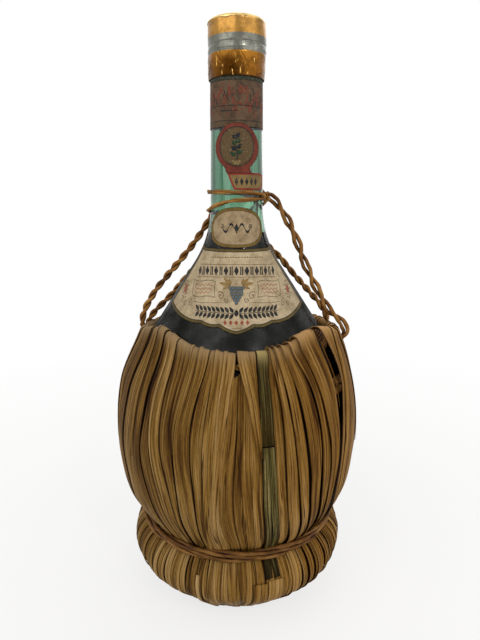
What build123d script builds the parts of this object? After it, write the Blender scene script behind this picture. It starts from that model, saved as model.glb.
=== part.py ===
"""A corked wine flask in a straw basket: blown glass, paper labels, foil capsule and twisted straw cords.

Millimetres, +Z up, origin on the floor under the middle of the base. The front faces -Y.
Azimuths are in degrees from the front, positive towards +X.
"""
from build123d import *
import os
from math import acos, atan2, cos, degrees, hypot, pi, radians, sin, sqrt, tan

# Glass flask
flask_lift = 14.0            # underside of the round bottom above the floor
belly_drop = 88.0            # widest ring above the underside
belly_radius = 68.0
bottom_inset = 8.0           # round of the blown bottom less than the belly's radius
shoulder_radius = 104.0      # round from the belly up to the cone
cone_angle = 33.0            # slope of the cone from upright, degrees
flare_radius = 60.0          # hollow curve from the cone into the neck
neck_radius = 14.8
neck_length = 92.0           # from the end of the flare to the mouth
neck_taper = 1.1
lip_height = 12.0
lip_proud = 0.8
body_wall = 2.5
bore_radius = 9.9
bore_flare_radius = 76.0
mouth_round = 0.8

# Contents and closure
wine_gap = 0.12
wine_drop = 15.5             # level of the wine under the end of the flare
cork_length = 38.0
cork_fit = 0.12
cork_recess = 0.5            # top of the cork under the mouth
cork_chamfer = 1.0

# Foil capsule
foil = 0.3
capsule_clearance = 0.4
capsule_skirt = 27.4         # skirt below the mouth
capsule_rise = 1.2           # underside of the crown above the mouth
capsule_round = 2.0
capsule_tuck = 0.3           # how far the skirt is pressed in at its lower edge
capsule_tuck_height = 5.0
crown_hole_radius = 9.5
disc_radius = 13.1

# Paper
paper = 0.22
paper_gap = 0.05
layer_step = 0.36
strip_height = 24.8
strip_tuck = 1.2             # how far the strip goes up under the skirt
seal_half_width = 11.3
seal_half_height = 12.8
seal_lap = 1.7               # how far the seal goes up over the strip
tab_half_width = 9.2
tab_height = 8.9
tab_offset = 5.2
tab_gap = 0.2
tab_corner = 3.4
shoulder_label_half_width = 13.4
shoulder_label_top = 1.6     # below the end of the flare
shoulder_label_height = 21.6
shoulder_label_crown = 12.5
shoulder_label_corner = 3.6
shoulder_label_corner_rise = 1.6
main_label_top = 25.3        # below the end of the flare
main_label_depth = 39.5
main_label_sweep = 144.0     # degrees round the cone
main_label_dip = 1.2
# Lower edge of the main label, from its side corner to the tip, as shares of its half width and depth
scallop_shares = ((1.0, 0.25), (0.47, 0.12), (0.23, 0.09), (0.0, 0.0))
swell_shares = ((0.74, 0.14), (0.35, 0.125), (0.11, 0.045))

# Straw basket
inner_strip = 0.7
outer_strip = 0.75
strip_gap = 0.1
straw_slack = 3.25           # between the glass and the inner strips at the belly
lower_fall = 52.0            # below the belly, where the strips come nearest the glass
lower_clearance = 0.4
rim_rise = 56.4              # middle of the fold at the rim above the belly
rim_clearance = 2.3          # between the glass and the fold
rim_cord_radius = 1.6
rim_cord_gap = 0.15
rim_tail = 200.0             # where the strips end inside the rim, degrees round the fold
base_bulge_radius = 65.2
base_bulge_height = 30.0
base_round = 16.0
base_slope = 45.0            # slope of the foot, degrees
waist_round = 3.0
strip_count = 36
inner_strip_angle = 7.6
outer_strip_angle = 6.4
inner_width_shares = (1.0, 0.94, 1.06, 0.98, 1.08, 0.92)
outer_width_shares = (1.0, 1.12, 0.86, 1.06, 0.9, 1.14, 0.96)
strips_per_node = 3

# The green blades, the broken strip and the split at the front
green_azimuth = 12.6
green_angle = 6.6
green_slot = 1               # the outer strip that the green blade takes the place of
green_joint_height = 117.6
green_joint_gap = 0.3
green_blade_angle = 2.9
green_end_height = 37.0
broken_slot = 5              # the inner strip that has broken off at its top
broken_height = 118.0
split_slot = 35              # the inner strip that has slipped at the front
split_height = 146.0

# Cords
hoop_radius = 1.7
hoop_height = 32.0           # above the belly
hoop_gap = 0.1
base_ring_radius = 34.0
base_ring_flat = 0.5
base_ring_gap = 0.2
waist_cord_radius = 1.4
waist_cord_gap = 0.35
waist_cord_step = 3.7
waist_cord_low = 1.0         # lower turn under the middle of the waist
waist_start_azimuth = 200.0
neck_cord_radius = 1.6
neck_cord_gap = 0.15
neck_loop_drop = 3.9         # lowest turn under the end of the flare
neck_loop_spread = 10.9
neck_loop_shares = (0.86, 0.95, 0.97, 1.0, 0.48, 0.52, 0.15, 0.0, 0.09)
neck_start_azimuth = 90.0
knot_radius = 2.4
knot_azimuth = 84.0
knot_share = 0.7
thin_cord = 4.0
thick_cord = 5.2

# Routes of the carrying cord, as hand-chosen points from end to end
left_route = [
    (-12.6, 11.6, 229.2), (-17.8, 7.4, 221.0), (-24.6, 4.4, 210.6), (-34.0, 3.0, 199.4),
    (-45.6, 3.0, 186.4), (-53.4, 3.0, 175.2), (-57.6, 3.2, 165.8), (-57.4, 4.2, 158.9)]
right_route = [
    (12.6, 12.8, 239.4), (18.8, 6.6, 238.6), (27.4, 3.6, 227.8), (34.6, 3.0, 213.4),
    (40.0, 3.0, 198.2), (47.6, 3.0, 183.4), (53.8, 3.0, 172.2), (60.4, 3.0, 165.2),
    (65.4, 3.6, 161.0), (67.0, 5.0, 154.4), (62.4, 6.6, 149.6)]
back_route = [
    (-56.4, 11.6, 159.6), (-53.0, 13.4, 166.0), (-43.8, 18.0, 174.2), (-32.8, 20.4, 186.4),
    (-21.6, 21.2, 199.6), (-11.0, 20.4, 212.4), (0.0, 19.4, 219.0), (11.2, 20.4, 213.8),
    (24.4, 20.6, 203.0), (36.2, 19.0, 189.0), (46.8, 17.0, 177.4), (54.8, 13.6, 168.6),
    (57.0, 11.4, 160.4)]

# Places that follow from the sizes above
full_turn = 360.0
quarter_turn = 90.0
half = 0.5
belly_height = flask_lift + belly_drop
bottom_radius = belly_radius - bottom_inset
slope = radians(cone_angle)
shoulder_end = (belly_radius - shoulder_radius * (1 - cos(slope)),
                belly_height + shoulder_radius * sin(slope))
flare_start_radius = neck_radius + flare_radius * (1 - cos(slope))
flare_start_height = shoulder_end[1] + (shoulder_end[0] - flare_start_radius) / tan(slope)
neck_start = flare_start_height + flare_radius * sin(slope)
mouth = neck_start + neck_length
wine_level = neck_start - wine_drop
neck_top_radius = neck_radius - neck_taper
lip_radius = neck_top_radius + lip_proud


def at(radius, height):
    """A point of the half section, right of the axis."""
    return Vector(radius, 0, height)


def turn(centre, radius, start, end):
    """An arc of the half section from one angle to another, in degrees about its centre."""
    spots = [radians(start), radians((start + end) / 2), radians(end)]
    return ThreePointArc(*[at(centre[0] + radius * cos(a), centre[1] + radius * sin(a)) for a in spots])


def lathe(edges):
    """The solid of a closed half section turned about the axis."""
    return revolve(make_face(edges), Axis.Z)


def sector(face, azimuth, angle):
    """Part of a turning of a half section, centred on an azimuth."""
    return revolve(face.rotate(Axis.Z, azimuth - angle / 2 - quarter_turn), Axis.Z, angle)


def lower_round(radius, drop, bottom):
    """Radius of the arc between the widest ring and the round bottom, tangent to both."""
    return (2 * drop * bottom - drop ** 2 - radius ** 2) / (2 * (bottom - radius))


def flask_side(inset, neck, flare, neck_end):
    """The side of the flask from the bottom of the axis up to the neck, moved in by inset."""
    radius, drop, bottom = belly_radius - inset, belly_drop - inset, bottom_radius - inset
    lower = lower_round(belly_radius, belly_drop, bottom_radius)
    low_centre = (belly_radius - lower, belly_height)
    bottom_centre = (0, belly_height - belly_drop + bottom_radius)
    low_turn = degrees(atan2(bottom_centre[1] - low_centre[1], bottom_centre[0] - low_centre[0]))
    shoulder = shoulder_radius - inset
    top = (belly_radius - shoulder_radius + shoulder * cos(slope), belly_height + shoulder * sin(slope))
    flare_foot = neck + flare * (1 - cos(slope))
    flare_low = top[1] + (top[0] - flare_foot) / tan(slope)
    flare_high = flare_low + flare * sin(slope)
    return [
        turn(bottom_centre, bottom, -quarter_turn, low_turn),
        turn(low_centre, lower - inset, low_turn, 0),
        turn((belly_radius - shoulder_radius, belly_height), shoulder, 0, cone_angle),
        Line(at(*top), at(flare_foot, flare_low)),
        turn((neck + flare, flare_high), flare, 2 * quarter_turn + cone_angle, 2 * quarter_turn),
        Line(at(neck, flare_high), at(*neck_end)),
    ]


def glass_radius(height):
    """Outer radius of the glass at a height between the belly and the mouth."""
    if height <= shoulder_end[1]:
        return belly_radius - shoulder_radius + sqrt(shoulder_radius ** 2 - (height - belly_height) ** 2)
    if height <= flare_start_height:
        return shoulder_end[0] - (height - shoulder_end[1]) * tan(slope)
    if height <= neck_start:
        return neck_radius + flare_radius - sqrt(flare_radius ** 2 - (neck_start - height) ** 2)
    return neck_radius - neck_taper * (height - neck_start) / neck_length


def glass_flask():
    lip_foot = mouth - lip_height
    outside = flask_side(0, neck_radius, flare_radius, (neck_top_radius, lip_foot - lip_proud))
    lip = [
        Line(at(neck_top_radius, lip_foot - lip_proud), at(lip_radius, lip_foot)),
        Line(at(lip_radius, lip_foot), at(lip_radius, mouth - mouth_round)),
        turn((lip_radius - mouth_round, mouth - mouth_round), mouth_round, 0, quarter_turn),
        Line(at(lip_radius - mouth_round, mouth), at(bore_radius, mouth)),
    ]
    inside = flask_side(body_wall, bore_radius, bore_flare_radius, (bore_radius, mouth))
    floor = Line(at(0, flask_lift), at(0, flask_lift + body_wall))
    return lathe(outside + lip + inside + [floor])


def wine_fill():
    inset = body_wall + wine_gap
    side = flask_side(inset, bore_radius - wine_gap, bore_flare_radius + wine_gap, (bore_radius - wine_gap, mouth))
    axis = Line(at(0, flask_lift + inset), at(0, mouth))
    cap = Line(at(0, mouth), at(bore_radius - wine_gap, mouth))
    return split(lathe(side + [axis, cap]), bisect_by=Plane.XY.offset(wine_level), keep=Keep.BOTTOM)


def cork():
    radius = bore_radius - cork_fit
    body = Pos(0, 0, mouth - cork_recess - cork_length / 2) * Cylinder(radius, cork_length)
    return chamfer(body.edges().filter_by(GeomType.CIRCLE), cork_chamfer)


def capsule_sleeve():
    inner = lip_radius + capsule_clearance
    outer = inner + foil
    low = mouth - capsule_skirt
    crown = mouth + capsule_rise
    bend = low + capsule_tuck_height
    corner = (outer - capsule_round, crown + foil - capsule_round)
    outside = [
        Line(at(outer - capsule_tuck, low), at(outer, bend)),
        Line(at(outer, bend), at(outer, corner[1])),
        turn(corner, capsule_round, 0, quarter_turn),
        Line(at(corner[0], crown + foil), at(crown_hole_radius, crown + foil)),
    ]
    inside = [
        Line(at(crown_hole_radius, crown + foil), at(crown_hole_radius, crown)),
        Line(at(crown_hole_radius, crown), at(corner[0], crown)),
        turn(corner, capsule_round - foil, quarter_turn, 0),
        Line(at(inner, corner[1]), at(inner, bend)),
        Line(at(inner, bend), at(inner - capsule_tuck, low)),
        Line(at(inner - capsule_tuck, low), at(outer - capsule_tuck, low)),
    ]
    return lathe(outside + inside)


def capsule_disc():
    low = mouth + capsule_rise + foil
    return Pos(0, 0, low + foil / 2) * Cylinder(disc_radius, foil)


def skin(layer, sweep):
    """A skin of paper over the whole side of the flask, on a layer of its own, cut to shape later."""
    near = paper_gap + layer * layer_step
    far = near + paper
    lip_foot = mouth - lip_height - lip_proud
    edges = []
    for gap in (near, far):
        edges += flask_side(-gap, neck_radius + gap, flare_radius - gap, (neck_top_radius + gap, lip_foot))
    edges.append(Line(at(0, flask_lift - far), at(0, flask_lift - near)))
    edges.append(Line(at(neck_top_radius + near, lip_foot), at(neck_top_radius + far, lip_foot)))
    return sector(make_face(edges), 0, sweep)


def front_cut(outline):
    """A prism from the axis out past the front of the flask, from an outline seen from the front."""
    return extrude(outline, 2 * belly_radius, dir=(0, -1, 0))


def strip_top():
    return mouth - capsule_skirt + strip_tuck


def neck_strip():
    top = strip_top()
    low = top - strip_height
    corners = [(glass_radius(h) + gap, h) for h, gap in (
        (low, paper_gap), (low, paper_gap + paper), (top, paper_gap + paper), (top, paper_gap))]
    return lathe([Line(at(*a), at(*b)) for a, b in zip(corners, corners[1:] + corners[:1])])


def seal_label():
    middle = strip_top() - strip_height + seal_lap - seal_half_height
    oval = Plane.XZ * Pos(0, middle) * Ellipse(seal_half_width, seal_half_height)
    return skin(1, half * full_turn) & front_cut(oval)


def number_label():
    top = strip_top() - strip_height + seal_lap - 2 * seal_half_height - tab_gap
    tab = Plane.XZ * Pos(tab_offset, top - tab_height / 2) * RectangleRounded(
        2 * tab_half_width, tab_height, tab_corner)
    return skin(0, half * full_turn) & front_cut(tab)


def shoulder_label():
    top = neck_start - shoulder_label_top
    low = top - shoulder_label_height
    side = at(shoulder_label_half_width, top - shoulder_label_crown)
    corner = at(shoulder_label_half_width - shoulder_label_corner, low + shoulder_label_corner_rise)
    mirror_side, mirror_corner = (at(-spot.X, spot.Z) for spot in (side, corner))
    edges = [
        ThreePointArc(side, at(0, top), mirror_side),
        Line(mirror_side, mirror_corner),
        ThreePointArc(mirror_corner, at(0, low), corner),
        Line(corner, side),
    ]
    return skin(0, half * full_turn) & front_cut(make_face(edges))


def main_label():
    top = neck_start - main_label_top
    low = top - main_label_depth
    width = glass_radius(low + main_label_depth * scallop_shares[0][1]) * sin(radians(main_label_sweep / 2))
    corners, swells = (
        [(width * x, low + main_label_depth * z) for x, z in shares] for shares in (scallop_shares, swell_shares))
    side_low = corners[0][1]
    edges = [ThreePointArc(at(-belly_radius, top), at(0, top - main_label_dip), at(belly_radius, top))]
    for sign in (-1, 1):
        for start, swell, end in zip(corners, swells, corners[1:]):
            edges.append(ThreePointArc(*[at(sign * x, z) for x, z in (start, swell, end)]))
        edges.append(Line(at(sign * width, side_low), at(sign * belly_radius, side_low)))
        edges.append(Line(at(sign * belly_radius, side_low), at(sign * belly_radius, top)))
    return skin(0, main_label_sweep) & front_cut(make_face(edges))


# The straw: places of the section's arcs, from the rim down to the foot
layer_depth = inner_strip + strip_gap + outer_strip
basket_belly_radius = belly_radius + straw_slack + layer_depth
fold_radius = rim_cord_radius + rim_cord_gap + layer_depth
fold_centre = (glass_radius(belly_height + rim_rise) + rim_clearance + fold_radius, belly_height + rim_rise)
draw_in = basket_belly_radius - fold_centre[0]
basket_upper_radius = (draw_in ** 2 + rim_rise ** 2 - fold_radius ** 2) / (2 * (draw_in - fold_radius))
lower_glass = lower_round(belly_radius, belly_drop, bottom_radius)
nearest_glass = belly_radius - lower_glass + sqrt(lower_glass ** 2 - lower_fall ** 2)
taper_in = basket_belly_radius - nearest_glass - lower_clearance
basket_lower_radius = (taper_in ** 2 + lower_fall ** 2 - layer_depth ** 2) / (2 * (taper_in - layer_depth))
upper_centre = (basket_belly_radius - basket_upper_radius, belly_height)
lower_centre = (basket_belly_radius - basket_lower_radius, belly_height)
fold_angle = degrees(acos((fold_centre[0] - upper_centre[0]) / (basket_upper_radius - fold_radius)))
bulge_centre = (base_bulge_radius - base_round, base_bulge_height)


def meet(centre_a, reach_a, centre_b, reach_b):
    """The outer crossing point of two circles, which is the centre of the waist's hollow."""
    across, up = centre_b[0] - centre_a[0], centre_b[1] - centre_a[1]
    span = hypot(across, up)
    along = (reach_a ** 2 - reach_b ** 2 + span ** 2) / (2 * span)
    aside = sqrt(reach_a ** 2 - along ** 2)
    return (centre_a[0] + (along * across - aside * up) / span, centre_a[1] + (along * up + aside * across) / span)


waist_centre = meet(lower_centre, basket_lower_radius + waist_round, bulge_centre, base_round + waist_round)
lower_end = degrees(atan2(waist_centre[1] - lower_centre[1], waist_centre[0] - lower_centre[0]))
bulge_start = degrees(atan2(waist_centre[1] - bulge_centre[1], waist_centre[0] - bulge_centre[0]))


def straw_line(depth):
    """The course of a strip's face at a depth under the outermost straw, from the rim to the floor."""
    foot = (bulge_centre[0] + (base_round - depth) * cos(radians(base_slope)),
            bulge_centre[1] - (base_round - depth) * sin(radians(base_slope)))
    return [
        turn(fold_centre, fold_radius - depth, rim_tail, fold_angle),
        turn(upper_centre, basket_upper_radius - depth, fold_angle, 0),
        turn(lower_centre, basket_lower_radius - depth, 0, lower_end),
        turn(waist_centre, waist_round + depth, lower_end + 2 * quarter_turn, bulge_start + 2 * quarter_turn),
        turn(bulge_centre, base_round - depth, bulge_start, -base_slope),
        Line(at(*foot), at(foot[0] - foot[1] / tan(radians(base_slope)), 0)),
    ]


def straw_section(near, far):
    """The section of a strip whose faces lie at two depths under the outermost straw."""
    outer, inner = straw_line(near), straw_line(far)
    ends = [Line(outer[0] @ 0, inner[0] @ 0), Line(outer[-1] @ 1, inner[-1] @ 1)]
    return make_face(outer + inner + ends)


def above(solid, height):
    return split(solid, bisect_by=Plane.XY.offset(height), keep=Keep.TOP)


def below(solid, height):
    return split(solid, bisect_by=Plane.XY.offset(height), keep=Keep.BOTTOM)


def straw_nodes():
    """The two layers of strips, a few neighbours to a node, and the green blades."""
    pitch = full_turn / strip_count
    outer_face = straw_section(0, outer_strip)
    inner_face = straw_section(outer_strip + strip_gap, layer_depth)
    nodes = {}
    for slot in range(strip_count):
        share = inner_width_shares[slot % len(inner_width_shares)]
        strip = sector(inner_face, (slot + half) * pitch, inner_strip_angle * share)
        if slot == broken_slot:
            strip = below(strip, broken_height)
        if slot == split_slot:
            strip = below(strip, split_height)
        nodes.setdefault(f"inner_straw_{slot // strips_per_node + 1:02d}", []).append(strip)
        if slot != green_slot:
            share = outer_width_shares[slot % len(outer_width_shares)]
            strip = sector(outer_face, slot * pitch, outer_strip_angle * share)
            nodes.setdefault(f"outer_straw_{slot // strips_per_node + 1:02d}", []).append(strip)
    nodes["green_blade_upper"] = [
        above(sector(outer_face, green_azimuth, green_angle), green_joint_height + green_joint_gap)]
    aside = (green_angle - green_blade_angle) / 2
    nodes["green_blades_lower"] = [
        above(below(sector(outer_face, green_azimuth + side * aside, green_blade_angle), green_joint_height),
              green_end_height) for side in (-1, 1)]
    return nodes


def rim_cord():
    return Pos(0, 0, fold_centre[1]) * Torus(fold_centre[0], rim_cord_radius)


def belly_hoop():
    """A hoop of cord inside the strips, above the belly."""
    face = upper_centre[0] + sqrt((basket_upper_radius - layer_depth) ** 2 - hoop_height ** 2)
    return Pos(0, 0, belly_height + hoop_height) * Torus(face - hoop_gap - hoop_radius, hoop_radius)


def base_ring():
    """The straw ring under the flask, as thick as the room between the floor and the round bottom."""
    rise = flask_lift + bottom_radius + base_ring_flat
    seat = bottom_radius + base_ring_gap
    thick = (base_ring_radius ** 2 + rise ** 2 - seat ** 2) / (2 * (rise + seat))
    return above(Pos(0, 0, thick - base_ring_flat) * Torus(base_ring_radius, thick), 0)


def biarc(start, start_way, end, end_way):
    """Two arcs that join two points and leave and reach them in the ways given."""
    chord = end - start
    ways = start_way + end_way
    lean = chord.dot(ways)
    bend = 2 * (1 - start_way.dot(end_way))
    reach = (sqrt(lean ** 2 + bend * chord.dot(chord)) - lean) / bend
    near, far = start + start_way * reach, end - end_way * reach
    middle = (near + far) / 2
    return [TangentArc(start, middle, tangent=start_way), TangentArc(middle, end, tangent=far - near)]


def winding(name, stations, radius):
    """A cord wound round the axis through stations a quarter turn apart: azimuth, radius and height."""
    spots, ways = [], []
    for index, (azimuth, reach, height) in enumerate(stations):
        low, high = stations[max(index - 1, 0)], stations[min(index + 1, len(stations) - 1)]
        angle = radians(azimuth)
        swing = radians(high[0] - low[0])
        spots.append(Vector(reach * sin(angle), -reach * cos(angle), height))
        ways.append(Vector(reach * cos(angle) * swing, reach * sin(angle) * swing, high[2] - low[2]).normalized())
    arcs = []
    for index in range(len(spots) - 1):
        arcs += biarc(spots[index], ways[index], spots[index + 1], ways[index + 1])
    path = Wire(arcs)
    per_turn = 60
    count = per_turn * (len(stations) - 1) // 4
    points = [path.position_at(step / count) for step in range(count + 1)]
    gap = min((points[a] - points[b]).length for a in range(count + 1) for b in range(a + per_turn // 2, count + 1))
    print(f"{name}: {path.length:.1f} mm long, least gap to itself {gap - 2 * radius:.2f} mm")
    return sweep(Plane(origin=path @ 0, z_dir=path % 0) * Circle(radius), path=path)


def waist_cord():
    """The cord tied round the waist: two turns, with the climb from one to the other at the back."""
    reach = waist_cord_radius + waist_cord_gap
    low = waist_centre[1] - waist_cord_low
    stations = []
    for quarter, step in enumerate((0, 0, 0, 0, 1, 1, 1, 1)):
        height = low + step * waist_cord_step
        bulge = base_round + reach
        belly = basket_lower_radius + reach
        rise, fall = height - bulge_centre[1], belly_height - height
        over_bulge = bulge_centre[0] + sqrt(bulge ** 2 - rise ** 2) if rise < bulge else 0
        over_belly = lower_centre[0] + sqrt(belly ** 2 - fall ** 2)
        stations.append((waist_start_azimuth + quarter_turn * quarter, max(over_bulge, over_belly), height))
    return winding("waist_cord", stations, waist_cord_radius)


def neck_stations():
    low = neck_start - neck_loop_drop
    stations = []
    for quarter, share in enumerate(neck_loop_shares):
        height = low + neck_loop_spread * share
        reach = glass_radius(height) + neck_cord_gap + neck_cord_radius
        stations.append((neck_start_azimuth - quarter_turn * quarter, reach, height))
    return stations


def neck_winding():
    return winding("neck_winding", neck_stations(), neck_cord_radius)


def neck_knot():
    """The knot that ties the loops at the right of the neck."""
    first, last = neck_stations()[0], neck_stations()[4]
    height = last[2] + (first[2] - last[2]) * knot_share
    reach = first[1] + neck_cord_radius * half
    angle = radians(knot_azimuth)
    return Pos(reach * sin(angle), -reach * cos(angle), height) * Sphere(knot_radius)


def cord_tube(name, route, diameter):
    """A round tube along straight runs and tangent arcs, each arc as large as its two runs allow."""
    share = 0.45
    spots = [Vector(*spot) for spot in route]
    runs = [after - before for before, after in zip(spots, spots[1:])]
    turns = [before.get_angle(after) for before, after in zip(runs, runs[1:])]
    radii = [share * min(before.length, after.length) / tan(radians(bend) / 2)
             for before, after, bend in zip(runs, runs[1:], turns)]
    path = FilletPolyline(*spots, radius=radii)
    tube = sweep(Plane(origin=path @ 0, z_dir=path % 0) * Circle(diameter / 2), path=path)
    print(f"{name}: {path.length:.1f} mm long, runs {[round(run.length, 1) for run in runs]}")
    print(f"  turns {[round(bend) for bend in turns]}, radii {[round(radius, 1) for radius in radii]}")
    print(f"  volume {tube.volume:.1f}, section times length {pi * diameter ** 2 / 4 * path.length:.1f}")
    return tube


def main():
    nodes = {
        "glass_flask": [glass_flask()],
        "wine_fill": [wine_fill()],
        "cork": [cork()],
        "capsule_sleeve": [capsule_sleeve()],
        "capsule_disc": [capsule_disc()],
        "neck_strip": [neck_strip()],
        "seal_label": [seal_label()],
        "number_label": [number_label()],
        "shoulder_label": [shoulder_label()],
        "main_label": [main_label()],
        "rim_cord": [rim_cord()],
        "belly_hoop": [belly_hoop()],
        "base_ring": [base_ring()],
        "waist_cord": [waist_cord()],
        "neck_winding": [neck_winding()],
        "neck_knot": [neck_knot()],
        "carry_cord_left": [cord_tube("carry_cord_left", left_route, thin_cord)],
        "carry_cord_right": [cord_tube("carry_cord_right", right_route, thick_cord)],
        "carry_cord_back": [cord_tube("carry_cord_back", back_route, thin_cord)],
    }
    nodes.update(straw_nodes())
    os.makedirs("parts", exist_ok=True)
    for name, shapes in nodes.items():
        solids = [solid for shape in shapes for solid in shape.solids()]
        shape = solids[0] if len(solids) == 1 else Compound(children=solids)
        export_step(shape, f"parts/{name}.step")
    print(f"{len(nodes)} nodes; mouth {mouth:.1f}, neck starts {neck_start:.1f}, wine {wine_level:.1f}, "
          f"rim fold {fold_centre[1]:.1f}, waist {waist_centre[1]:.1f}")


main()
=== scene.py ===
import math
import random

import bpy
import numpy as np
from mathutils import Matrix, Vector, noise
from mathutils.geometry import delaunay_2d_cdt


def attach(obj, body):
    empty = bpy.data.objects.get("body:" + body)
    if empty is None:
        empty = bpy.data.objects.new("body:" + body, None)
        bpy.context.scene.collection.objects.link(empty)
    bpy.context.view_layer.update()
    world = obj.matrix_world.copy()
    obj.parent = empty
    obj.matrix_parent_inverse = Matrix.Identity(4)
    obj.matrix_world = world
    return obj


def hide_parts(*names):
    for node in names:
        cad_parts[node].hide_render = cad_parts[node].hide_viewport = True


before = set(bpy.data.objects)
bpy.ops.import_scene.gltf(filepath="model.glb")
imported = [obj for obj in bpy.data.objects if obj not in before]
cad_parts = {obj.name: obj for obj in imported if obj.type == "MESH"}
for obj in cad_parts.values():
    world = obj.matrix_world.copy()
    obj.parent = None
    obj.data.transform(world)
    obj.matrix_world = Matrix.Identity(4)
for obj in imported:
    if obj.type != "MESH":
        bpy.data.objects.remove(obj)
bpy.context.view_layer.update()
mm = 0.001  # every size below is in millimetres and is turned to metres when a mesh is made
print("frame loaded:", len(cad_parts), "nodes")

# Camera at the photograph's place: a little over the shoulder, looking down on the basket
cameraValues = {"place": (1.9, -295.0, 233.6), "lookDown": 13.15, "lens": 28.4}

cameraData = bpy.data.cameras.new("camera")
cameraData.lens = cameraValues["lens"]
cameraData.sensor_width = 36
camera = bpy.data.objects.new("camera", cameraData)
camera.location = [c * mm for c in cameraValues["place"]]
camera.rotation_euler = (math.radians(90 - cameraValues["lookDown"]), 0, 0)
cameraData.clip_start = 0.01
bpy.context.scene.collection.objects.link(camera)
bpy.context.scene.camera = camera


def toLinear(hexColour):
    shares = [int(hexColour[i:i + 2], 16) / 255 for i in (1, 3, 5)]
    return [c / 12.92 if c <= 0.04045 else ((c + 0.055) / 1.055) ** 2.4 for c in shares] + [1.0]


def fill(node, values):
    # values by a socket's name or number, or by a property: a constant, a hex colour or another node's output
    for name, value in values.items():
        if name == "stops":
            elements = node.color_ramp.elements
            while len(elements) < len(value):
                elements.new(0.5)
            for element, (place, colour) in zip(elements, value):
                element.position = place
                element.color = toLinear(colour) if isinstance(colour, str) else (colour, colour, colour, 1)
        elif not isinstance(name, int) and name not in node.inputs:
            setattr(node, name, value)
        elif isinstance(value, bpy.types.NodeSocket):
            node.id_data.links.new(value, node.inputs[name])
        else:
            node.inputs[name].default_value = toLinear(value) if isinstance(value, str) else value
    return node


def addNode(tree, kind, values, out=0):
    # gives the output asked for by name or number, or else the first; of a Mix node always the colour
    return fill(tree.nodes.new("ShaderNode" + kind), values).outputs[2 if kind == "Mix" else out]


def objectPlace(tree):
    return addNode(tree, "TexCoord", {}, "Object")


def pieceValue(tree, name, out="Fac"):
    return addNode(tree, "Attribute", {"attribute_name": name}, out)


def grain(tree, place, scale, detail, roughness=0.5):
    # cloudy noise of one scale, or of a scale for each axis
    if not np.isscalar(scale):
        place, scale = addNode(tree, "Mapping", {"Scale": scale, "Vector": place}), 1.0
    return addNode(tree, "TexNoise", {"Scale": scale, "Detail": detail, "Roughness": roughness, "Vector": place})


def ramp(tree, share, *stops):
    return addNode(tree, "ValToRGB", {"stops": stops, "Fac": share})


def span(tree, value, low, high, toLow=0.0, toHigh=1.0, kind="LINEAR"):
    return addNode(tree, "MapRange", {"interpolation_type": kind, "Value": value, "From Min": low, "From Max": high,
                                      "To Min": toLow, "To Max": toHigh})


def maths(tree, operation, *numbers):
    return addNode(tree, "Math", {"operation": operation, **dict(enumerate(numbers))})


def mix(tree, share, under, over, blend="MIX"):
    return addNode(tree, "Mix", {"data_type": "RGBA", "blend_type": blend, 0: share, 6: under, 7: over})


def relieve(shader, height, strength, distance):
    bump = addNode(shader.id_data, "Bump", {"Strength": strength, "Distance": distance, "Height": height})
    fill(shader, {"Normal": bump})


def newMaterial(name, values):
    material = bpy.data.materials.new(name)
    material.use_nodes = True
    tree = material.node_tree
    return material, tree, fill(tree.nodes["Principled BSDF"], values)


def smoothRandom(seed, spots, spacing):
    # a value from about -1 to 1 that drifts slowly along the spots
    return np.array([noise.noise(Vector((spot / spacing, seed * 7.31, seed * 1.7))) * 1.8 for spot in spots])


def gridFaces(rows, columns, first=0, closed=False):
    faces = []
    for row in range(rows - 1):
        for column in range(columns if closed else columns - 1):
            across = (column + 1) % columns
            a, b = first + row * columns, first + (row + 1) * columns
            faces.append((a + column, a + across, b + across, b + column))
    return faces


def roundAxis(turn, reach, height):
    # a point round the flask's axis, its turn in radians from the front
    return (reach * math.sin(turn), -reach * math.cos(turn), height)


def makePiece(name, body, material, points, faces, replaced, values=None, thickness=0):
    mesh = bpy.data.meshes.new(name)
    mesh.from_pydata((np.asarray(points, float) * mm).tolist(), [], faces)
    mesh.validate()
    mesh.shade_smooth()
    for key, data in (values or {}).items():
        data = np.asarray(data, np.float32)
        kind, field = ("FLOAT", "value") if data.ndim == 1 else ("FLOAT_VECTOR", "vector")
        mesh.attributes.new(key, kind, "POINT").data.foreach_set(field, data.ravel())
    mesh.materials.append(material)
    piece = bpy.data.objects.new(name, mesh)
    bpy.context.scene.collection.objects.link(piece)
    if thickness:
        wall = piece.modifiers.new("thickness", "SOLIDIFY")
        wall.thickness, wall.offset = thickness * mm, -1
    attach(piece, body)
    if replaced:
        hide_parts(*replaced)
    return piece


# Twisted straw cord. Marsh grass is rolled wet into strands and two strands are twisted together,
# which gives the eye slanting lumps with fine fibres along each and a dull, slightly waxy shine.
cordFinish = {"dark": "#321b07", "middle": "#7c5221", "light": "#ba8d4c", "groove": "#5c3d14",
              "fibre": 0.28, "roughness": 0.62}


def twistedCordMaterial():
    f = cordFinish
    material, tree, shader = newMaterial("rolledMarshGrassCord", {
        "Roughness": f["roughness"], "Specular IOR Level": 0.16})
    place = pieceValue(tree, "cordPlace", "Vector")
    fibres = grain(tree, place, (0.12, 1 / f["fibre"], 1), 6.0, 0.6)
    patches = maths(tree, "MULTIPLY", grain(tree, place, 0.09, 3.0), 0.5)
    both = maths(tree, "MULTIPLY_ADD", fibres, 0.55, patches)
    colour = ramp(tree, both, (0.36, f["dark"]), (0.52, f["middle"]), (0.7, f["light"]))
    # the grooves between the strands are darkened by multiplying in the groove colour: painted shade
    fill(shader, {"Base Color": mix(tree, pieceValue(tree, "cordGroove"), colour, f["groove"], "MULTIPLY")})
    relieve(shader, fibres, 0.6, 0.0003)
    return material


cordMaterial = twistedCordMaterial()


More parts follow.
